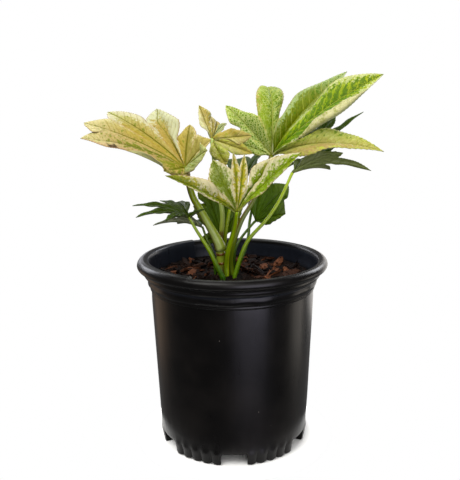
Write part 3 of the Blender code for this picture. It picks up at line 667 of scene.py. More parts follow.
class Shader:
    """A material under construction."""

    def __init__(self, name):
        self.material = bpy.data.materials.new(name)
        self.material.use_nodes = True
        self.tree = self.material.node_tree
        self.surface = self.tree.nodes["Principled BSDF"]
        self.point = self.node("ShaderNodeTexCoord", {}, {}, "Object")
        self.map = self.node("ShaderNodeTexCoord", {}, {}, "UV")

    def node(self, kind, settings, inputs, output=0):
        made = self.tree.nodes.new(kind)
        for setting, value in settings.items():
            setattr(made, setting, value)
        for key, value in inputs.items():
            self.feed(made.inputs[key], value)
        return Socket(self, made.outputs[output])

    def feed(self, socket, value):
        if isinstance(value, Socket):
            self.tree.links.new(value.socket, socket)
        else:
            opaque = socket.type == "RGBA" and len(value) == 3
            socket.default_value = (*value, 1.0) if opaque else value

    def set(self, **inputs):
        for name, value in inputs.items():
            self.feed(self.surface.inputs[name.replace("_", " ")], value)

    def mix(self, first, second, share, blend="MIX"):
        """Two colours mixed by a share from 0 to 1."""
        return self.node(
            "ShaderNodeMix", {"data_type": "RGBA", "blend_type": blend},
            {0: share, 6: first, 7: second}, 2
        )

    def vivid(self, colour, saturation, value=PLANT_VALUE):
        inputs = {"Color": colour, "Saturation": saturation, "Value": value}
        return self.node("ShaderNodeHueSaturation", {}, inputs)

    def noise(self, scale, detail, where=None):
        return self.node(
            "ShaderNodeTexNoise", {},
            {"Vector": where or self.point, "Scale": scale, "Detail": detail}
        )

    def cells(self, scale, feature="F1", output=0):
        return self.node(
            "ShaderNodeTexVoronoi", {"feature": feature},
            {"Vector": self.point, "Scale": scale}, output
        )

    def attribute(self, name, output="Color"):
        return self.node("ShaderNodeAttribute", {"attribute_name": name}, {}, output)

    def parts(self, vector):
        split = self.tree.nodes.new("ShaderNodeSeparateXYZ")
        self.feed(split.inputs[0], vector)
        return [Socket(self, output) for output in split.outputs]

    def vector(self, x, y, z):
        return self.node("ShaderNodeCombineXYZ", {}, {0: x, 1: y, 2: z})

    def bump(self, height, distance, strength):
        self.set(Normal=self.node(
            "ShaderNodeBump", {}, {"Height": height, "Distance": distance, "Strength": strength}
        ))


class Blade:
    """The middle surface of a palmate blade, the same one as its solid follows."""

    def __init__(self, leaf):
        self.leaf = leaf
        self.base = Vector(leaf.base)
        self.frames = self.lobe_frames()
        self.web_rows, self.tip_rows = leaf.rows
        self.rows = sum(leaf.rows)
        self.sinuses = [self.sinus(k) for k in range(len(leaf.lobes) - 1)]

    def lobe_frames(self):
        """For each lobe, its direction, its upper side's normal and the direction to its left."""
        ways = [direction(lobe.heading, lobe.rise) for lobe in self.leaf.lobes]
        webs = [before.cross(after).normalized() for before, after in zip(ways, ways[1:])]
        frames = []
        for k, way in enumerate(ways):
            up = sum(webs[max(k - 1, 0):k + 1], Vector())
            up = (up - way * up.dot(way)).normalized()
            frames.append((way, up, up.cross(way)))
        return frames

    def rolled(self, k, share):
        """A lobe's directions to its left and up, turned about its midrib by part of its roll."""
        _, up, left = self.frames[k]
        roll = math.radians(self.leaf.lobes[k].roll) * share
        return (
            left * math.cos(roll) + up * math.sin(roll), up * math.cos(roll) - left * math.sin(roll)
        )

    def rib(self, k, share):
        lobe = self.leaf.lobes[k]
        arch = self.rolled(k, 1)[1] * (4 * lobe.bend * lobe.length * share * (1 - share))
        return self.base + self.frames[k][0] * (lobe.length * share) + arch

    def sinus(self, k):
        """Where the cut between this lobe and the next ends."""
        pair = [(self.leaf.lobes[j], self.frames[j]) for j in (k, k + 1)]
        cut = self.leaf.cuts[k]
        shares = cut if isinstance(cut, tuple) else (cut / 2, cut / 2)
        cut = sum(shares)
        up = (pair[0][1][1] + pair[1][1][1]).normalized()
        spot = sum((
            frame[0] * lobe.length * share for (lobe, frame), share in zip(pair, shares)
        ), Vector())
        raised = sum(lobe.fold * abs(spot.dot(left)) / 2 for lobe, (_, _, left) in pair)
        arch = sum(4 * lobe.bend * lobe.length for lobe, _ in pair) / 2 * cut * (1 - cut)
        return self.base + spot + up * (raised + arch)

    def sinus_line(self, k, share):
        pair = (self.leaf.lobes[k], self.leaf.lobes[k + 1])
        up = (self.frames[k][1] + self.frames[k + 1][1]).normalized()
        sag = sum(lobe.bend * lobe.length for lobe in pair) / 2
        straight = self.base.lerp(self.sinuses[k], share)
        return straight + up * (4 * sag * WEB_SAG * share * (1 - share))

    def free_edge(self, k, side, start, along, spread_by):
        """The outer edge of half a lobe, from the sinus (0) to the tip (1)."""
        lobe = self.leaf.lobes[k]
        way = self.frames[k][0]
        left, up = self.rolled(k, ease(along * ROLL_RATE))
        start_along = max((start - self.base).dot(way), 0) / lobe.length
        start_out = abs((start - self.base).dot(self.frames[k][2]))
        share = start_along + (1 - start_along) * along
        spread = ease(along / spread_by)
        half_width = lobe.half_width * (1 + side * lobe.skew)
        out = start_out * (1 - spread) + half_width * (1 - along ** lobe.fullness) * spread
        phase = math.tau * RIPPLES_PER_LOBE * share + 1.7 * k + side
        ripple = RIPPLE * math.sin(phase) * ease(along * 3) * min(1.0, out / half_width)
        return self.rib(k, min(share, 1.0)) + left * (side * out) + up * (lobe.fold * out + ripple)

    def tooth(self, k, side, along):
        """How far a tooth stands out of the edge: a slow rise towards the tip and a sharp drop."""
        lobe = self.leaf.lobes[k]
        count = along * lobe.length / TOOTH_PITCH + 0.37 * k + 0.2 * side
        rise = (count % 1.0) ** 1.3
        small = min(1.0, lobe.half_width / 0.010)
        return TOOTH_DEPTH * small * rise * ease(along * 6) * ease((1 - along) * 7)

    def edge(self, k, side, row):
        """The outermost point of a lobe's half in a row, which may lie between whole rows."""
        neighbour = k if side > 0 else k - 1
        has_web = 0 <= neighbour < len(self.sinuses)
        if row <= self.web_rows and has_web:
            return self.sinus_line(neighbour, row / self.web_rows)
        if has_web:
            start, spread_by = self.sinuses[neighbour], LOBE_SPREAD
            along = (row - self.web_rows) / self.tip_rows
        else:
            start, along, spread_by = self.base, row / self.rows, self.leaf.heel
        spot = self.free_edge(k, side, start, along, spread_by)
        spot += (start - self.free_edge(k, side, start, 0, spread_by)) * (1 - along) ** 2
        way, _, left = self.frames[k]
        return spot + (left * (side * TOOTH_OUT) + way * TOOTH_AHEAD) * self.tooth(k, side, along)

    def rib_share(self, k, row):
        """How far along the midrib a row starts, level with the ends of the cuts on both sides."""
        way, length = self.frames[k][0], self.leaf.lobes[k].length
        ends = [self.sinuses[j] for j in (k - 1, k) if 0 <= j < len(self.sinuses)]
        reach = [(end - self.base).dot(way) / length for end in ends]
        web = min(max(sum(reach) / len(reach), 0.15), 0.85)
        if row <= self.web_rows:
            return web * row / self.web_rows
        return web + (1 - web) * (row - self.web_rows) / self.tip_rows

    def spot(self, k, side, out, row):
        """A point on a lobe's half, from the midrib (0) to the edge (1), with pattern values."""
        share = self.rib_share(k, row)
        middle = self.rib(k, share)
        edge = self.edge(k, side, row)
        width = (edge - middle).length
        up = self.rolled(k, ease(share * ROLL_RATE))[1]
        way = self.frames[k][0]
        place = middle.lerp(edge, out) + up * (CROWN * width * out * (1 - out))
        across = width * out
        along = (place - self.base).dot(way)
        between = 0.5 - 0.5 * math.cos(math.tau * vein_phase(across, along, side))
        ends = ease(share * 5) * ease((1 - share) * 4)
        relief = PUCKER * between * 4 * out * (1 - out) * ends * min(1.0, width / 0.008)
        relief -= GROOVE * math.exp(-(across / GROOVE_WIDTH) ** 2) * (1 - share) ** 0.5 * ease(row)
        return place + up * relief, across, along, share


def vein_phase(across, along, side):
    return (along - VEIN_SLOPE * across - VEIN_CURVE * across * across) / VEIN_PITCH + 0.25 * side


def lobe_grid(blade, k, extra):
    """A grid laid over one lobe, from its left margin over the midrib to its right one.

    Extra columns at the right make the strip of margin that is turned up and back.
    """
    leaf, lobe = blade.leaf, blade.leaf.lobes[k]
    web = max(8, round(0.35 * max(lobe.length for lobe in leaf.lobes) / ROW_PITCH))
    tip = max(10, round(lobe.length * 0.65 / ROW_PITCH))
    columns = 2 * COLUMNS + extra
    bpy.ops.mesh.primitive_grid_add(x_subdivisions=columns, y_subdivisions=web + tip, size=2)
    grid = bpy.context.object
    paint = PAINTS[leaf.name][k]
    rib_half = FINISHES[leaf.name].rib_half
    further, clear_from = WEB_CLEAR.get(leaf.name, PLAIN_CLEAR)
    grounds, rims, shares, lines, strip, pairs = [], [], [], [], [], []
    for point in grid.data.vertices:
        column = round((point.co.x + 1) / 2 * columns)
        line = round((point.co.y + 1) / 2 * (web + tip))
        row = blade.web_rows * min(line, web) / web + blade.tip_rows * max(line - web, 0) / tip
        side = 1 if column < COLUMNS else -1
        out = min(abs(column / COLUMNS - 1), 1.0) ** CROWDING
        point.co, wide, along, share = blade.spot(k, side, out, row)
        burn = scorch(leaf, k, side, out, share)
        ground = mixed(ground_colour(leaf, paint, side, out, share), BURNT, burn)
        rim = mixed(paint.rim, BURNT, burn)
        beyond = max(column - 2 * COLUMNS, 0)
        if beyond:
            point.co = turned_margin(blade, k, side, row, beyond / extra)
            # The turned strip is painted lighter than the rest of the underside, as painted light
            ground = rim = TURNED_PAINTED_LIGHT_COLOUR
        grounds.append(ground)
        rims.append(rim)
        strip.append(1.0 if beyond else 0.0)
        blotch, margin = paint.blotch[0], paint.blotch[1 if side > 0 else 2]
        blotch += (margin - blotch) * ease(out)
        if len(paint.blotch) > 3:
            blotch += (paint.blotch[3] - blotch) * ease((share - 0.5) / 0.25)
        shares.append((blotch, paint.net, out))
        start = paint.starts[0 if side > 0 else 1] + further * (1 - ease(share / clear_from))
        if len(paint.starts) > 2:
            start += (paint.starts[2] - start) * ease((share - 0.55) / 0.35)
        lines.append((start, rib_half * (1 - 0.75 * share), 0.0))
        pairs.append((rib_bow(leaf, k, share) - side * wide, along))
    give_colours(grid.data, "ground", grounds)
    give_colours(grid.data, "rim", rims)
    give_values(grid.data, "shares", "FLOAT_VECTOR", shares)
    give_values(grid.data, "lines", "FLOAT_VECTOR", lines)
    give_values(grid.data, "turned", "FLOAT", strip)
    give_uv(grid.data, pairs)
    give_ribs(grid, pairs, lobe.length)
    return grid


def rib_bow(leaf, k, share):
    """How far a midrib is drawn to the left of the lobe's middle line."""
    if (leaf.name, k) != (BOWED_LEAF, BOWED_LOBE):
        return 0.0
    return BOW * ease((share - 0.25) * 2.2) * ease((1 - share) * 3)


def give_ribs(grid, pairs, length):
    """Weights for the thickness: full along the midrib's first stretch, thin elsewhere."""
    group = grid.vertex_groups.new(name="thickness")
    thin = LEAF_THICKNESS / RIB_THICKNESS
    for index, (across, along) in enumerate(pairs):
        onward = max(1 - max(along, 0) / length, 0.0)
        ridge = math.exp(-(across / GROOVE_WIDTH) ** 2) * onward ** 0.6
        group.add([index], thin + (1 - thin) * ridge, "REPLACE")


def turned_margin(blade, k, side, row, share):
    """The strip beyond the edge, turned up and back over the blade."""
    along = blade.spot(k, side, 1.0, row)[3]
    edge = blade.edge(k, side, row)
    inner = blade.spot(k, side, 0.8, row)[0]
    inward = (inner - edge).normalized()
    up = blade.rolled(k, ease(along * ROLL_RATE))[1]
    width = TURNED_WIDTH * ease((along - TURNED_FROM) * 5) * ease((TURNED_TO - along) * 5)
    raised = TURNED_ARCH * math.sin(math.pi * min(share * 1.6, 1)) + TURNED_LIFT
    return edge + inward * (width * share) + up * (raised * ease(width * 1000))


def ground_colour(leaf, paint, side, out, share):
    """The colour of the tissue before veins, blotches and specks."""
    if leaf.name in HEARTS:
        heart = (1 - ease(share * 3)) * 0.8
        paint = paint._replace(
            left=mixed(paint.left, HEART, heart), right=mixed(paint.right, HEART, heart)
        )
    middle = mixed(paint.left, paint.right, 0.5)
    colour = mixed(middle, paint.left if side > 0 else paint.right, ease(out * 1.6))
    return mixed(colour, paint.tip, ease((share - 0.5) / 0.5) ** 1.3)


def scorch(leaf, k, side, out, share):
    """How far a spot of the blade is burnt, from 0 to 1."""
    if (leaf.name, k, side) != (SCORCH_LEAF, SCORCH_LOBE, SCORCH_SIDE):
        return 0.0
    near = 1 - abs(share - SCORCH_ALONG) / SCORCH_HALF
    return ease(near * 3) * ease((out - 0.58 - 0.1 * math.sin(share * 90)) * 6)


def build_blade(leaf):
    blade = Blade(leaf)
    extras = [0] * len(leaf.lobes)
    if leaf.name == TURNED_LEAF:
        extras[TURNED_LOBE] = TURNED_COLUMNS
    grids = [lobe_grid(blade, k, extra) for k, extra in enumerate(extras)]
    piece = join(grids, "leaf_" + leaf.name)
    merge(piece)
    upper = len(piece.data.vertices)
    solid = piece.modifiers.new("thickness", "SOLIDIFY")
    solid.thickness = RIB_THICKNESS
    solid.offset = -1
    solid.use_quality_normals = True
    solid.vertex_group = "thickness"
    apply_all(piece)
    below = [1.0 if index >= upper else 0.0 for index in range(len(piece.data.vertices))]
    give_values(piece.data, "below", "FLOAT", below)
    piece.data.shade_smooth()
    finish = FINISHES[leaf.name]
    return dress(piece, leaf_material(leaf.name, finish), finish.slot, "blade_" + leaf.name)


def leaf_material(name, finish):
    """Leaf tissue with pale margins, green blotches, a pale net, veins and a matt underside."""
    shader = Shader("leaf_" + name)
    share, net, out = shader.parts(shader.attribute("shares", "Vector"))
    start, rib_half, _ = shader.parts(shader.attribute("lines", "Vector"))
    across, along, _ = shader.parts(shader.map)
    below = shader.attribute("below", "Fac")
    wide = abs(across)
    slant = along - wide * VEIN_SLOPE - wide * wide * VEIN_CURVE
    height = shader.parts(shader.point)[2]
    coarse = shader.noise(110, 3)
    fine = shader.noise(430, 3)
    grain = shader.noise(1300, 1)
    streaks = shader.noise(1.0, 3, shader.vector(slant * 420, across * 150, height * 60))

    mosaic, tint, _ = shader.parts(shader.cells(600, output=1))
    shade = (0.52 - fine) * 2.2 + (0.5 - grain)
    colour = shader.mix(shader.attribute("ground"), (0.60, 0.58, 0.42), shade, "MULTIPLY")
    light = (coarse - 0.5) * 0.5 + (tint - 0.5) * 0.12
    colour = shader.mix(colour, (1.0, 0.98, 0.88), light, "SOFT_LIGHT")
    uneven = (streaks - 0.5) * 0.9 + (mosaic - 0.5) * finish.ragged + (fine - 0.5) * 0.5
    rim = (out + uneven).step(start - 0.10, start + 0.12)
    colour = shader.mix(colour, shader.attribute("rim"), rim * 0.92)
    phase = slant / VEIN_PITCH + (coarse - 0.5) * 0.5 - across.maths("SIGN") * 0.25
    off_vein = abs(phase.maths("FRACT") - 0.5)
    spread = (streaks * 0.45 + fine * 0.3 + tint * 0.25 - 0.5) * 2.2
    patches = (share + spread - off_vein * 0.5).step(0.30, 0.52)
    colour = shader.mix(colour, finish.blotch, patches * (1 - rim * 0.7) * 0.85)
    borders = 1 - shader.cells(500, "DISTANCE_TO_EDGE").step(0.03, 0.22)
    flecks = borders * (net + (coarse - 0.5) * 0.9 + (fine - 0.5) * 0.8).step(0.22, 0.85)
    colour = shader.mix(colour, finish.fleck, flecks * 0.85)
    side_vein = off_vein.step(0.40, 0.48) * (1 - out.step(0.75, 1.0)) * coarse.step(0.25, 0.55)
    colour = shader.mix(colour, finish.vein, side_vein * finish.vein_share)
    rib = 1 - (wide - rib_half).step(-0.0003, 0.0003)
    colour = shader.mix(colour, finish.rib, rib * 0.9)
    colour = shader.mix(colour, finish.line, out.step(0.90, 0.99) * 0.6)

    turned = shader.attribute("turned", "Fac")
    under = shader.mix(finish.under, colour, 0.22 + turned * 0.65)
    under = shader.mix(under, finish.vein, (side_vein + rib) * 0.45)
    shows_under = (below + turned * (1 - below * 2)).step(0.3, 0.7)
    shader.set(Base_Color=shader.vivid(shader.mix(colour, under, shows_under), finish.vivid))
    shader.set(Roughness=finish.roughness + (fine - 0.5) * 0.14 + shows_under * 0.2)
    shader.set(Subsurface_Weight=0.1, Subsurface_Radius=(0.5, 0.6, 0.2), Subsurface_Scale=0.0012)
    shader.set(Specular_IOR_Level=finish.gloss)
    shader.bump((fine - 0.5) * 0.45 + (grain - 0.5) * 0.25 - side_vein * 0.9 - rib, 0.0007, 0.7)
    return shader.material


def carried_frames(route):
    """At each point of a route, two directions square to it that don't twist along it."""
    ways = [(after - before).normalized() for before, after in zip(route, route[1:])]
    ways.append(ways[-1])
    side = Vector((1, 0, 0))
    frames = []
    for way in ways:
        side = (side - way * side.dot(way)).normalized()
        frames.append((side, way.cross(side)))
    return frames


def tube_grid(name, route, radii, paint):
    """A grid rolled round a route and closed at both ends. The map runs round it from the right."""
    frames = carried_frames(route)
    lines = [0] + list(range(len(route))) + [len(route) - 1]
    bpy.ops.mesh.primitive_grid_add(
        x_subdivisions=STALK_SIDES, y_subdivisions=len(lines) - 1, size=2
    )
    tube = named(name)
    grounds, pairs = [], []
    for point in tube.data.vertices:
        around = (point.co.x + 1) / 2
        line = round((point.co.y + 1) / 2 * (len(lines) - 1))
        index = lines[line]
        angle = math.tau * around
        side, back = frames[index]
        radius = 0.0 if line in (0, len(lines) - 1) else radii[index]
        point.co = route[index] + (side * math.cos(angle) + back * math.sin(angle)) * radius
        grounds.append(paint(index / (len(route) - 1), angle, route[index].z))
        pairs.append((around, index / (len(route) - 1)))
    give_colours(tube.data, "ground", grounds)
    give_uv(tube.data, pairs)
    merge(tube)
    tube.data.shade_smooth()
    return tube


def stem_line():
    points = smooth_route(STEM_ROUTE, STALK_STEPS)
    radii = []
    for k, point in enumerate(points):
        radius = STEM_RADII[0] + (STEM_RADII[1] - STEM_RADII[0]) * k / STALK_STEPS
        ring = max(math.exp(-((point.z - scar) / 0.0009) ** 2) for scar in STEM_SCARS)
        radii.append(radius + SCAR_SWELL * ring)
    return [Vector(STEM_ROUTE[0]) - Vector((0, 0, FOOT_DEPTH))] + points, [STEM_RADII[0]] + radii


def petiole_line(leaf):
    """The points and radii of a leaf's stalk, from its foot to just under the blade's base."""
    foot_radius, top_radius = leaf.radii
    knots = list(leaf.route) + [leaf.base]
    if leaf.name == LEAF_ON_STEM:
        before, top = stem_line()[0][-2:]
        axis = (top - before).normalized()
        start = top - axis * 0.0004
        knots = [top + axis * 0.0025] + knots
    else:
        start = Vector(leaf.route[0]) - Vector((0, 0, FOOT_DEPTH))
    slim = SLIM.get(leaf.name, 1.0)
    radii = []
    for k in range(STALK_STEPS + 1):
        left = 1 - k / STALK_STEPS
        swell = 0.12 * math.exp(-(left / 0.03) ** 2)
        slimness = slim + (1 - slim) * left ** 5
        radius = top_radius + (foot_radius - top_radius) * left ** 1.5
        radii.append(radius * (1 + swell) * slimness)
    points = smooth_route(knots, STALK_STEPS)
    up = sum((frame[1] for frame in Blade(leaf).frames), Vector()).normalized()
    points[-1] = points[-1] - up * (top_radius * 0.5)
    return [start] + points, [foot_radius] + radii


def stalk_paint(leaf):
    tones = STALKS[leaf.name]

    def paint(share, angle, height):
        colour = mixed(tones.foot, tones.top, ease(share * 1.3))
        # Lighter right sides are a painted highlight; darker left sides are brown stripes on two
        # stalks and painted shade on the front leaf's stalk
        rightward = math.cos(angle)
        if tones.right:
            colour = mixed(colour, tones.right, ease(rightward * 1.3) * 0.9)
            colour = mixed(colour, tones.left, ease((-rightward - 0.35) * 2.2))
        if leaf.name == SHEATH and SHEATH_HEIGHTS[0] < height < SHEATH_HEIGHTS[1]:
            colour = mixed(colour, SHEATH_BROWN, 0.85)
        return colour

    return paint


def build_stalk(leaf, material):
    route, radii = petiole_line(leaf)
    tube = tube_grid("stalk_" + leaf.name, route, radii, stalk_paint(leaf))
    return dress(tube, material, "petiole", "petiole_" + leaf.name)


def build_stem(material):
    green, brown = (0.26, 0.32, 0.10), (0.12, 0.045, 0.02)

    def paint(share, angle, height):
        ring = max(math.exp(-((height - scar) / 0.0012) ** 2) for scar in STEM_SCARS)
        return mixed(mixed((0.10, 0.08, 0.03), green, ease(share * 1.5)), brown, min(ring * 1.2, 1))

    route, radii = stem_line()
    return dress(tube_grid("stem_bark", route, radii, paint), material, "stem", "stem")


def stalk_material():
    """Smooth stalk skin with faint streaks along it."""
    shader = Shader("stalk_skin")
    around, along, _ = shader.parts(shader.map)
    turn = around * math.tau
    x, y = turn.maths("COSINE"), turn.maths("SINE")
    streaks = shader.noise(1.0, 3, shader.vector(x * 4, y * 4, along * 3))
    lines = shader.noise(1.0, 2, shader.vector(x * 11, y * 11, along * 4))
    mottle = shader.noise(420, 2)
    ground = shader.attribute("ground")
    colour = shader.mix(ground, (0.45, 0.40, 0.28), (streaks - 0.45) * 0.8, "MULTIPLY")
    colour = shader.mix(colour, (0.035, 0.060, 0.006), (1 - lines.step(0.28, 0.46)) * 0.5)
    pale = lines.step(0.54, 0.74) * 0.28 + (mottle - 0.62) * 0.4
    colour = shader.mix(colour, (0.50, 0.60, 0.18), pale)
    shader.set(Base_Color=shader.vivid(colour, STALK_VIVID, STALK_VALUE))
    shader.set(Roughness=0.36 + (mottle - 0.5) * 0.2, Specular_IOR_Level=0.25)
    shader.set(Subsurface_Weight=0.1, Subsurface_Radius=(0.5, 0.7, 0.2), Subsurface_Scale=0.001)
    shader.bump((streaks - 0.5) * 0.6 + (mottle - 0.5) * 0.3, 0.0003, 0.4)
    return shader.material


def pot_profile():
    """The cut through the pot from the middle of its floor, out, up, over the lip and back."""
    def run(points, steps):
        return [(spot.x, spot.z) for spot in smooth_route([(r, 0, z) for r, z in points], steps)]

    ledge = [(radius, FLOOR_HEIGHT) for radius in (POLE_RADIUS, 0.030, FOOT_INNER_RADIUS - 0.0004)]
    foot_inside = [(FOOT_INNER_RADIUS, FLOOR_HEIGHT - 0.0004), (FOOT_INNER_RADIUS, 0.0004)]
    foot_below = [(FOOT_INNER_RADIUS + 0.0004, 0.0), (FOOT_OUTER_RADIUS - 0.0005, 0.0)]
    foot_top = (FLUTE_TOP_RADIUS, FLUTE_HEIGHT)
    foot_outside = run([(FOOT_OUTER_RADIUS, 0.0004), (0.06410, 0.0062), foot_top], 14)
    wall = run([(0.06545, 0.0140), (0.06640, 0.0360), (0.06860, 0.0890), (0.07048, 0.1340)], 26)
    band = run([(0.0705, 0.1368), (0.0713, 0.1376), (0.0717, 0.1385), (0.0714, 0.1394),
                (0.0719, 0.1404), (0.0730, 0.1420), (0.0736, 0.1440), (0.0734, 0.1459),
                (0.0732, 0.1472), (0.0741, 0.1484)], 30)
    inside_the_roll = run([(0.0748, 0.1590), (0.0768, 0.1615), (0.0792, 0.1614),
                           (0.0808, 0.1592), (0.0804, 0.1572), (0.0780, 0.1560),
                           (0.0760, 0.1550), (0.0753, 0.1505)], 14)
    outside_the_roll = run([(0.0753, 0.1488), (0.0762, 0.1499), (0.0768, 0.1512), (0.0769, 0.1526),
                            (0.0773, 0.1537), (0.0790, 0.1546), (0.0810, 0.1558), (0.0822, 0.1574),
                            (RIM_RADIUS, 0.1590), (0.0817, 0.1612), (0.0795, POT_HEIGHT),
                            (0.0768, POT_HEIGHT), (0.0747, 0.1618), (0.0735, 0.1590)], 52)
    inside = run([(0.0733, 0.1560), (0.0732, 0.1505), (0.0718, 0.1488), (0.0706, 0.1440),
                  (0.0694, 0.1370), (0.0672, 0.0800),
                  (FLUTE_TOP_RADIUS - WALL, FLOOR_HEIGHT + WALL)], 22)
    floor = [(0.030, FLOOR_HEIGHT + WALL), (POLE_RADIUS, FLOOR_HEIGHT + WALL)]
    outside = foot_below + foot_outside + wall + band + inside_the_roll + outside_the_roll
    return ledge + foot_inside + outside + inside + floor


def lathe(name, profile, sides):
    """A round shape made from a disc, extruded and scaled from ring to ring of its outline."""
    deselect()
    radius, height = profile[0]
    bpy.ops.mesh.primitive_circle_add(
        vertices=sides, radius=radius, fill_type="NGON", location=(0, 0, height)
    )
    piece = named(name)
    bpy.ops.object.transform_apply(location=True)
    with editing(piece):
        bpy.ops.mesh.flip_normals()
        bpy.ops.mesh.region_to_loop()
        for before, after in zip(profile, profile[1:]):
            bpy.ops.mesh.extrude_edges_move()
            scale = after[0] / before[0]
            bpy.ops.transform.resize(value=(scale, scale, 1), center_override=(0, 0, before[1]))
            bpy.ops.transform.translate(value=(0, 0, after[1] - before[1]))
        bpy.ops.mesh.edge_face_add()
        bpy.ops.mesh.select_all(action="SELECT")
        bpy.ops.mesh.normals_make_consistent(inside=False)
    return piece


def foot_angles():
    return [math.tau * k / FEET for k in range(FEET)]


def flute_rise(angle):
    """How far the rounded flutes of a foot stand out at this angle, from 0 to 1."""
    foot = min(foot_angles(), key=lambda middle: abs(math.remainder(angle - middle, math.tau)))
    steps = math.remainder(angle - foot, math.tau) / FLUTE_PITCH
    last = (FLUTES_PER_FOOT - 1) // 2
    nearest = max(min(round(steps), last), -last)
    return max(math.cos(math.pi * (steps - nearest)), 0) ** FLUTE_FULLNESS


def pot_dents(angle, height):
    """Shallow unevenness of the thin moulded wall, strongest in the band below the lip."""
    around = Vector((math.cos(angle), math.sin(angle), 0))
    band = ease((height - BAND[0]) / 0.003) * ease((BAND[1] - height) / 0.003)
    wall = ease((height - 0.02) / 0.02) * ease((SHOULDER_HEIGHT - height) / 0.01)
    ripples = noise.noise(around * 4.6 + Vector((0, 0, height * 150)))
    waves = noise.noise(around * 1.6 + Vector((3, 5, height * 9)))
    return band * ripples * BAND_DENT + wall * waves * WALL_DENT


def shape_pot(pot):
    """Flutes on the feet, dents in the wall and a stretch of lip that reaches further in and up."""
    for point in pot.data.vertices:
        radius = math.hypot(point.co.x, point.co.y)
        angle = math.atan2(point.co.y, point.co.x)
        height = point.co.z
        taper = SHOULDER_RADIUS - FOOT_OUTER_RADIUS
        wall_line = FOOT_OUTER_RADIUS + taper * height / SHOULDER_HEIGHT
        moved = radius
        if radius > wall_line - 0.0008 and height < 0.149:
            moved += pot_dents(angle, height)
            if height < 0.016:
                flute = flute_rise(angle)
                moved += FLUTE_RISE * flute * (1 - ease((height - 0.0085) / 0.0055))
                point.co.z += SCALLOP * (1 - flute) * max(1 - height / 0.008, 0)
        stepped = LIP_STEP[0] < math.degrees(angle) % 360 < LIP_STEP[1]
        if height > LIP_FOOT and radius < RIM_RADIUS and stepped:
            moved -= LIP_STEP_REACH * ease((LIP_INSIDE - radius) / 0.002)
            rise = ease((RIM_RADIUS - radius) / 0.008) * ease((height - LIP_FOOT) / 0.01)
            point.co.z += LIP_STEP_RISE * rise
        point.co.x *= moved / radius
        point.co.y *= moved / radius


def cutter_block(size, place, turn, rounding):
    """A block with rounded edges, turned about the pot's axis into place."""
    deselect()
    bpy.ops.mesh.primitive_cube_add(size=1, location=(0, 0, 0))
    block = bpy.context.object
    bevel = block.modifiers.new("rounding", "BEVEL")
    bevel.width = rounding
    bevel.segments = 3
    block.data.transform(Matrix.Diagonal((*size, 1)))
    apply_all(block)
    block.data.transform(Matrix.Rotation(turn, 4, "Z") @ Matrix.Translation(place))
    return block


def cut_pot(pot):
    """Notches between the feet, hollow feet and drain holes."""
    notch = (0.050, NOTCH_WIDTH, 2 * FLOOR_HEIGHT - 0.0004)
    pocket_width = 2 * (FOOT_INNER_RADIUS * math.tan(math.pi / FEET) - NOTCH_WIDTH / 2 - 2 * WALL)
    pocket_depth = FOOT_OUTER_RADIUS - FOOT_INNER_RADIUS - 2.4 * WALL
    pocket = (pocket_depth, pocket_width, FLOOR_HEIGHT + 0.003)
    pocket_place = ((FOOT_OUTER_RADIUS + FOOT_INNER_RADIUS) / 2 - 0.0012, 0, WALL + pocket[2] / 2)
    cutters = []
    for foot in foot_angles():
        between = foot + math.pi / FEET
        cutters.append(cutter_block(notch, (0.075, 0, -0.0002), between, 0.0012))
        cutters.append(cutter_block(pocket, pocket_place, foot, 0.0008))
        deselect()
        bpy.ops.mesh.primitive_cylinder_add(vertices=24, radius=DRAIN_RADIUS, depth=0.006)
        drain = bpy.context.object
        place = Matrix.Rotation(between, 4, "Z") @ Matrix.Translation((DRAIN_CIRCLE, 0, 0.012))
        drain.data.transform(place)
        cutters.append(drain)
    group = bpy.data.collections.new("pot_cutters")
    for cutter in cutters:
        group.objects.link(cutter)
    cut = pot.modifiers.new("cuts", "BOOLEAN")
    cut.operation = "DIFFERENCE"
    cut.operand_type = "COLLECTION"
    cut.collection = group
    cut.solver = "MANIFOLD"
    apply_all(pot)
    for cutter in cutters:
        bpy.data.objects.remove(cutter)
    bpy.data.collections.remove(group)


def build_pot():
    pot = lathe("nursery_pot", pot_profile(), POT_SIDES)
    shape_pot(pot)
    cut_pot(pot)
    smooth(pot, 40)
    return dress(pot, pot_material(), "pot_plastic", "pot")


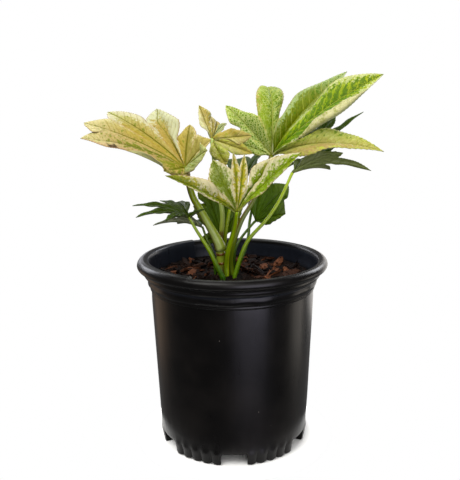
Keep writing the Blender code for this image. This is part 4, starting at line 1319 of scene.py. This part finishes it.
def pot_material():
    """Black moulded plastic with a soft sheen, faint upright drawing marks, specks of dust, scuff
    marks on the lip painted lighter as a painted highlight, and a painted bluish reflection on the
    inner wall above the soil.
    """
    shader = Shader("pot_plastic")
    x, y, z = shader.parts(shader.point)
    drawn = shader.noise(1.0, 3, shader.vector(x * 240, y * 240, z * 14))
    cloud = shader.noise(26, 3)
    fine = shader.noise(900, 2)
    spots, chance = shader.cells(95), shader.cells(95, output=1)
    dust = (1 - spots.step(0.022, 0.040)) * shader.parts(chance)[0].step(0.90, 0.93)
    # Scuff marks on the lip: rougher and slightly raised, and painted lighter as a painted
    # highlight
    scuff_and_highlight_noise = shader.noise(1.0, 2, shader.vector(x * 160, y * 160, z * 700))
    scuffs_and_painted_highlights = scuff_and_highlight_noise.step(0.66, 0.80) * z.step(0.150, 0.158)
    # Painted bluish reflection on the inner wall above the soil, streaked by the drawing marks
    radius = (x * x + y * y).maths("SQRT")
    inner = z.step(0.145, 0.149) * (1 - radius.step(0.0734, 0.0742))
    colour = shader.mix((0.0014, 0.0011, 0.0011), (0.0045, 0.0036, 0.0033), cloud.step(0.35, 0.7))
    colour = shader.mix(colour, (0.013, 0.016, 0.025), inner * (0.55 + drawn * 0.6))
    colour = shader.mix(colour, (0.030, 0.030, 0.036), scuffs_and_painted_highlights * 0.7)
    colour = shader.mix(colour, (0.22, 0.19, 0.17), dust * 0.8)
    shader.set(Base_Color=colour)
    rough = 0.30 + (cloud - 0.5) * 0.12 + (drawn - 0.5) * 0.08 + dust * 0.3 + scuffs_and_painted_highlights * 0.1
    shader.set(Roughness=rough, Specular_IOR_Level=POT_GLOSS)
    height = (drawn - 0.5) * 0.5 + (fine - 0.5) * 0.12 + (cloud - 0.5) * 1.2 + scuffs_and_painted_highlights * 0.4
    shader.bump(height, 0.0003, 0.35)
    return shader.material


def build_soil_bed():
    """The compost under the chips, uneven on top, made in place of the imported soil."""
    below = [(POLE_RADIUS, 0.134), (0.040, 0.134), (0.0688, 0.134),
             (0.0704, 0.1405), (0.0710, 0.1455)]
    top = [(SOIL_RADIUS * k / 44, SOIL_HEIGHT) for k in range(43, 1, -1)]
    bed = lathe("soil_bed", below + top, SOIL_SIDES)
    for point in bed.data.vertices:
        if point.co.z > SOIL_HEIGHT - 0.0005:
            radius = math.hypot(point.co.x, point.co.y)
            lumps = noise.fractal(point.co * 210, 1.0, 2.0, 4) * SOIL_LUMPS
            edge = ease((SOIL_RADIUS - radius) / 0.004)
            point.co.z += lumps * edge - SOIL_SINK + swell(point.co.x, point.co.y)
    smooth(bed, 50)
    return dress(bed, soil_material("soil_crumbs", False), "soil", "soil")


def swell(x, y):
    """Slow rise and fall of the soil's surface."""
    return SOIL_SWELL * noise.noise(Vector((x, y, 0)) * 34) + BACK_RISE * ease((y - 0.015) / 0.045)


def chip_forms():
    """Splinters of bark: a cube, cut up in edit mode, tapered and roughened."""
    draw = random.Random(11)
    forms = []
    for _ in range(CHIP_FORMS):
        deselect()
        bpy.ops.mesh.primitive_cube_add(size=1)
        chip = bpy.context.object
        with editing(chip):
            bpy.ops.mesh.subdivide(number_cuts=2)
        lean = draw.uniform(-0.5, 0.5)
        for point in chip.data.vertices:
            end = abs(point.co.x) * 2
            point.co.y *= 1 - draw.uniform(0.0, 0.85) * end ** 2
            point.co.z *= 1 - draw.uniform(0.0, 0.7) * end ** 2
            point.co.z += 0.45 * lean * point.co.x ** 2 * 4
            point.co += Vector([draw.uniform(-most, most) for most in (0.07, 0.16, 0.16)])
        forms.append(chip)
    return forms


def clear_of_stalks(x, y, reach):
    feet = [(leaf.route[0], leaf.radii[0]) for leaf in LEAVES if leaf.name != LEAF_ON_STEM]
    feet.append((STEM_ROUTE[0], STEM_RADII[0]))
    return all(math.hypot(x - foot[0], y - foot[1]) > radius + reach for foot, radius in feet)


def build_chips():
    """Bark chips strewn over the soil, the long ones last and on top."""
    draw = random.Random(5)
    forms = chip_forms()
    heap = bmesh.new()
    shades = []
    placed = 0
    while placed < CHIP_COUNT:
        long_one = placed >= CHIP_COUNT - LONG_CHIPS
        length = draw.uniform(*(LONG_CHIP_LENGTHS if long_one else CHIP_LENGTHS))
        width = length * draw.uniform(0.2, 0.45)
        thickness = width * draw.uniform(0.3, 0.65)
        radius = (SOIL_RADIUS - 0.0015 - length / 2) * math.sqrt(draw.uniform(0, 1))
        angle = draw.uniform(0, math.tau)
        x, y = radius * math.cos(angle), radius * math.sin(angle)
        bare = long_one and abs(x) < BARE_FRONT[0] and y < BARE_FRONT[1]
        if bare or not clear_of_stalks(x, y, 0.0012 + length * 0.35):
            continue
        tilt = 0.65 if long_one else 0.9
        height = SOIL_HEIGHT - CHIP_SINK + swell(x, y) + draw.uniform(0.0, 2 * CHIP_SINK)
        turn = Matrix.Translation((x, y, height))
        for low, high, axis in ((0, math.tau, "Z"), (-tilt, tilt, "Y"), (-tilt, tilt, "X")):
            turn @= Matrix.Rotation(draw.uniform(low, high), 4, axis)
        turn @= Matrix.Diagonal((length, width, thickness, 1))
        before = len(heap.verts)
        heap.from_mesh(draw.choice(forms).data)
        heap.verts.ensure_lookup_table()
        bmesh.ops.transform(heap, matrix=turn, verts=heap.verts[before:])
        shades += [draw.random() ** 4.0] * (len(heap.verts) - before)
        placed += 1
    chips = forms.pop()
    for form in forms:
        bpy.data.objects.remove(form)
    heap.to_mesh(chips.data)
    heap.free()
    chips.name = chips.data.name = "bark_chips"
    give_values(chips.data, "shade", "FLOAT", shades)
    smooth(chips, 30)
    return dress(chips, soil_material("bark", True), "soil")


def soil_material(name, chips):
    """Damp compost, or bark from near black to reddish brown with pale fibres."""
    shader = Shader(name)
    grain = shader.noise(700, 3)
    lumps = shader.noise(180, 3)
    dark, brown = (0.002, 0.0009, 0.0006), (0.018, 0.0065, 0.003)
    colour = shader.mix(dark, brown, (lumps * 0.5 + grain * 0.5).step(0.42, 0.68))
    if chips:
        shade = shader.attribute("shade", "Fac")
        stretched = shader.node(
            "ShaderNodeVectorMath", {"operation": "MULTIPLY"},
            {0: shader.point, 1: (300, 300, 1500)},
        )
        fibres = shader.noise(1.0, 3, stretched)
        bark = shader.mix((0.0045, 0.0017, 0.0009), (0.14, 0.047, 0.019), shade)
        colour = shader.mix(bark, (0.22, 0.095, 0.045), fibres.step(0.56, 0.72) * shade * 0.8)
        colour = shader.mix(colour, dark, grain.step(0.5, 0.72) * 0.6)
    shader.set(Base_Color=colour, Roughness=0.86 - lumps * 0.2, Specular_IOR_Level=0.05)
    shader.bump((grain - 0.5) + (lumps - 0.5) * 0.6, 0.0008, 0.8)
    return shader.material


def build_camera():
    camera = bpy.data.objects.new("camera", bpy.data.cameras.new("camera"))
    bpy.context.scene.collection.objects.link(camera)
    camera.data.lens = LENS
    camera.data.clip_start = 0.01
    pose = Matrix.Translation(CAMERA_PLACE)
    for turn, axis in ((-CAMERA_PAN, "Z"), (math.pi / 2 - CAMERA_PITCH, "X"), (-CAMERA_ROLL, "Z")):
        pose @= Matrix.Rotation(turn, 4, axis)
    camera.matrix_world = pose
    bpy.context.scene.camera = camera


def add_lamp(light, place, power, colour):
    light.energy = power
    light.color = colour
    lamp = bpy.data.objects.new(light.name, light)
    lamp.location = place
    lamp.rotation_mode = "QUATERNION"
    lamp.rotation_quaternion = (place - LIGHT_AIM).to_track_quat("Z", "Y")
    lamp.visible_diffuse = light.type == "SUN"
    bpy.context.scene.collection.objects.link(lamp)


def build_light():
    """A white room, broad soft suns, and panels that show in the pot's gloss."""
    world = bpy.data.worlds.new("studio")
    world.use_nodes = True
    background = world.node_tree.nodes["Background"]
    background.inputs["Color"].default_value = (1.0, 1.0, 1.0, 1)
    rays = world.node_tree.nodes.new("ShaderNodeLightPath")
    room, seen = (world.node_tree.nodes.new("ShaderNodeMapRange") for _ in range(2))
    room.inputs["To Min"].default_value = ROOM_LIGHT
    room.inputs["To Max"].default_value = ROOM_IN_GLOSS
    world.node_tree.links.new(rays.outputs["Is Glossy Ray"], room.inputs["Value"])
    world.node_tree.links.new(room.outputs["Result"], seen.inputs["To Min"])
    world.node_tree.links.new(rays.outputs["Is Camera Ray"], seen.inputs["Value"])
    world.node_tree.links.new(seen.outputs["Result"], background.inputs["Strength"])
    bpy.context.scene.world = world
    for name, heading, rise, power, angle, colour in SUNS:
        light = bpy.data.lights.new(name, "SUN")
        light.angle = math.radians(angle)
        add_lamp(light, direction(heading, rise) * 2, power, colour)
    for name, heading, rise, power, wide, high, colour in PANELS:
        light = bpy.data.lights.new(name, "AREA")
        light.shape = "RECTANGLE"
        light.size = wide
        light.size_y = high
        add_lamp(light, LIGHT_AIM + direction(heading, rise) * PANEL_DISTANCE, power, colour)


def build_floor():
    """A small white floor under the pot, lit up towards its edge, where shadows fade out."""
    deselect()
    bpy.ops.mesh.primitive_circle_add(
        vertices=96, radius=FLOOR_RADIUS, fill_type="NGON", location=(0, 0, FLOOR_LEVEL)
    )
    floor = named("floor")
    shader = Shader("floor")
    x, y, _ = shader.parts(shader.point)
    edge = (x * x + y * y).maths("SQRT").step(FLOOR_FADE, FLOOR_RADIUS)
    colour = shader.mix((0.93, 0.93, 0.93), (0.95, 0.95, 0.95), shader.noise(6, 2))
    glow = shader.mix((0.0, 0.0, 0.0), (0.6, 0.6, 0.6), edge)
    shader.set(Base_Color=colour, Roughness=0.8, Emission_Color=glow, Emission_Strength=1.0)
    floor.data.materials.append(shader.material)
    floor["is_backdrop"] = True


def main():
    bpy.context.scene.view_settings.view_transform = "Standard"
    build_camera()
    build_light()
    build_floor()
    build_pot()
    build_soil_bed()
    build_chips()
    skin = stalk_material()
    build_stem(skin)
    for leaf in LEAVES:
        build_blade(leaf)
        build_stalk(leaf, skin)


main()
[[list(corner) for corner in box] for box in (cad_box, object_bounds())]
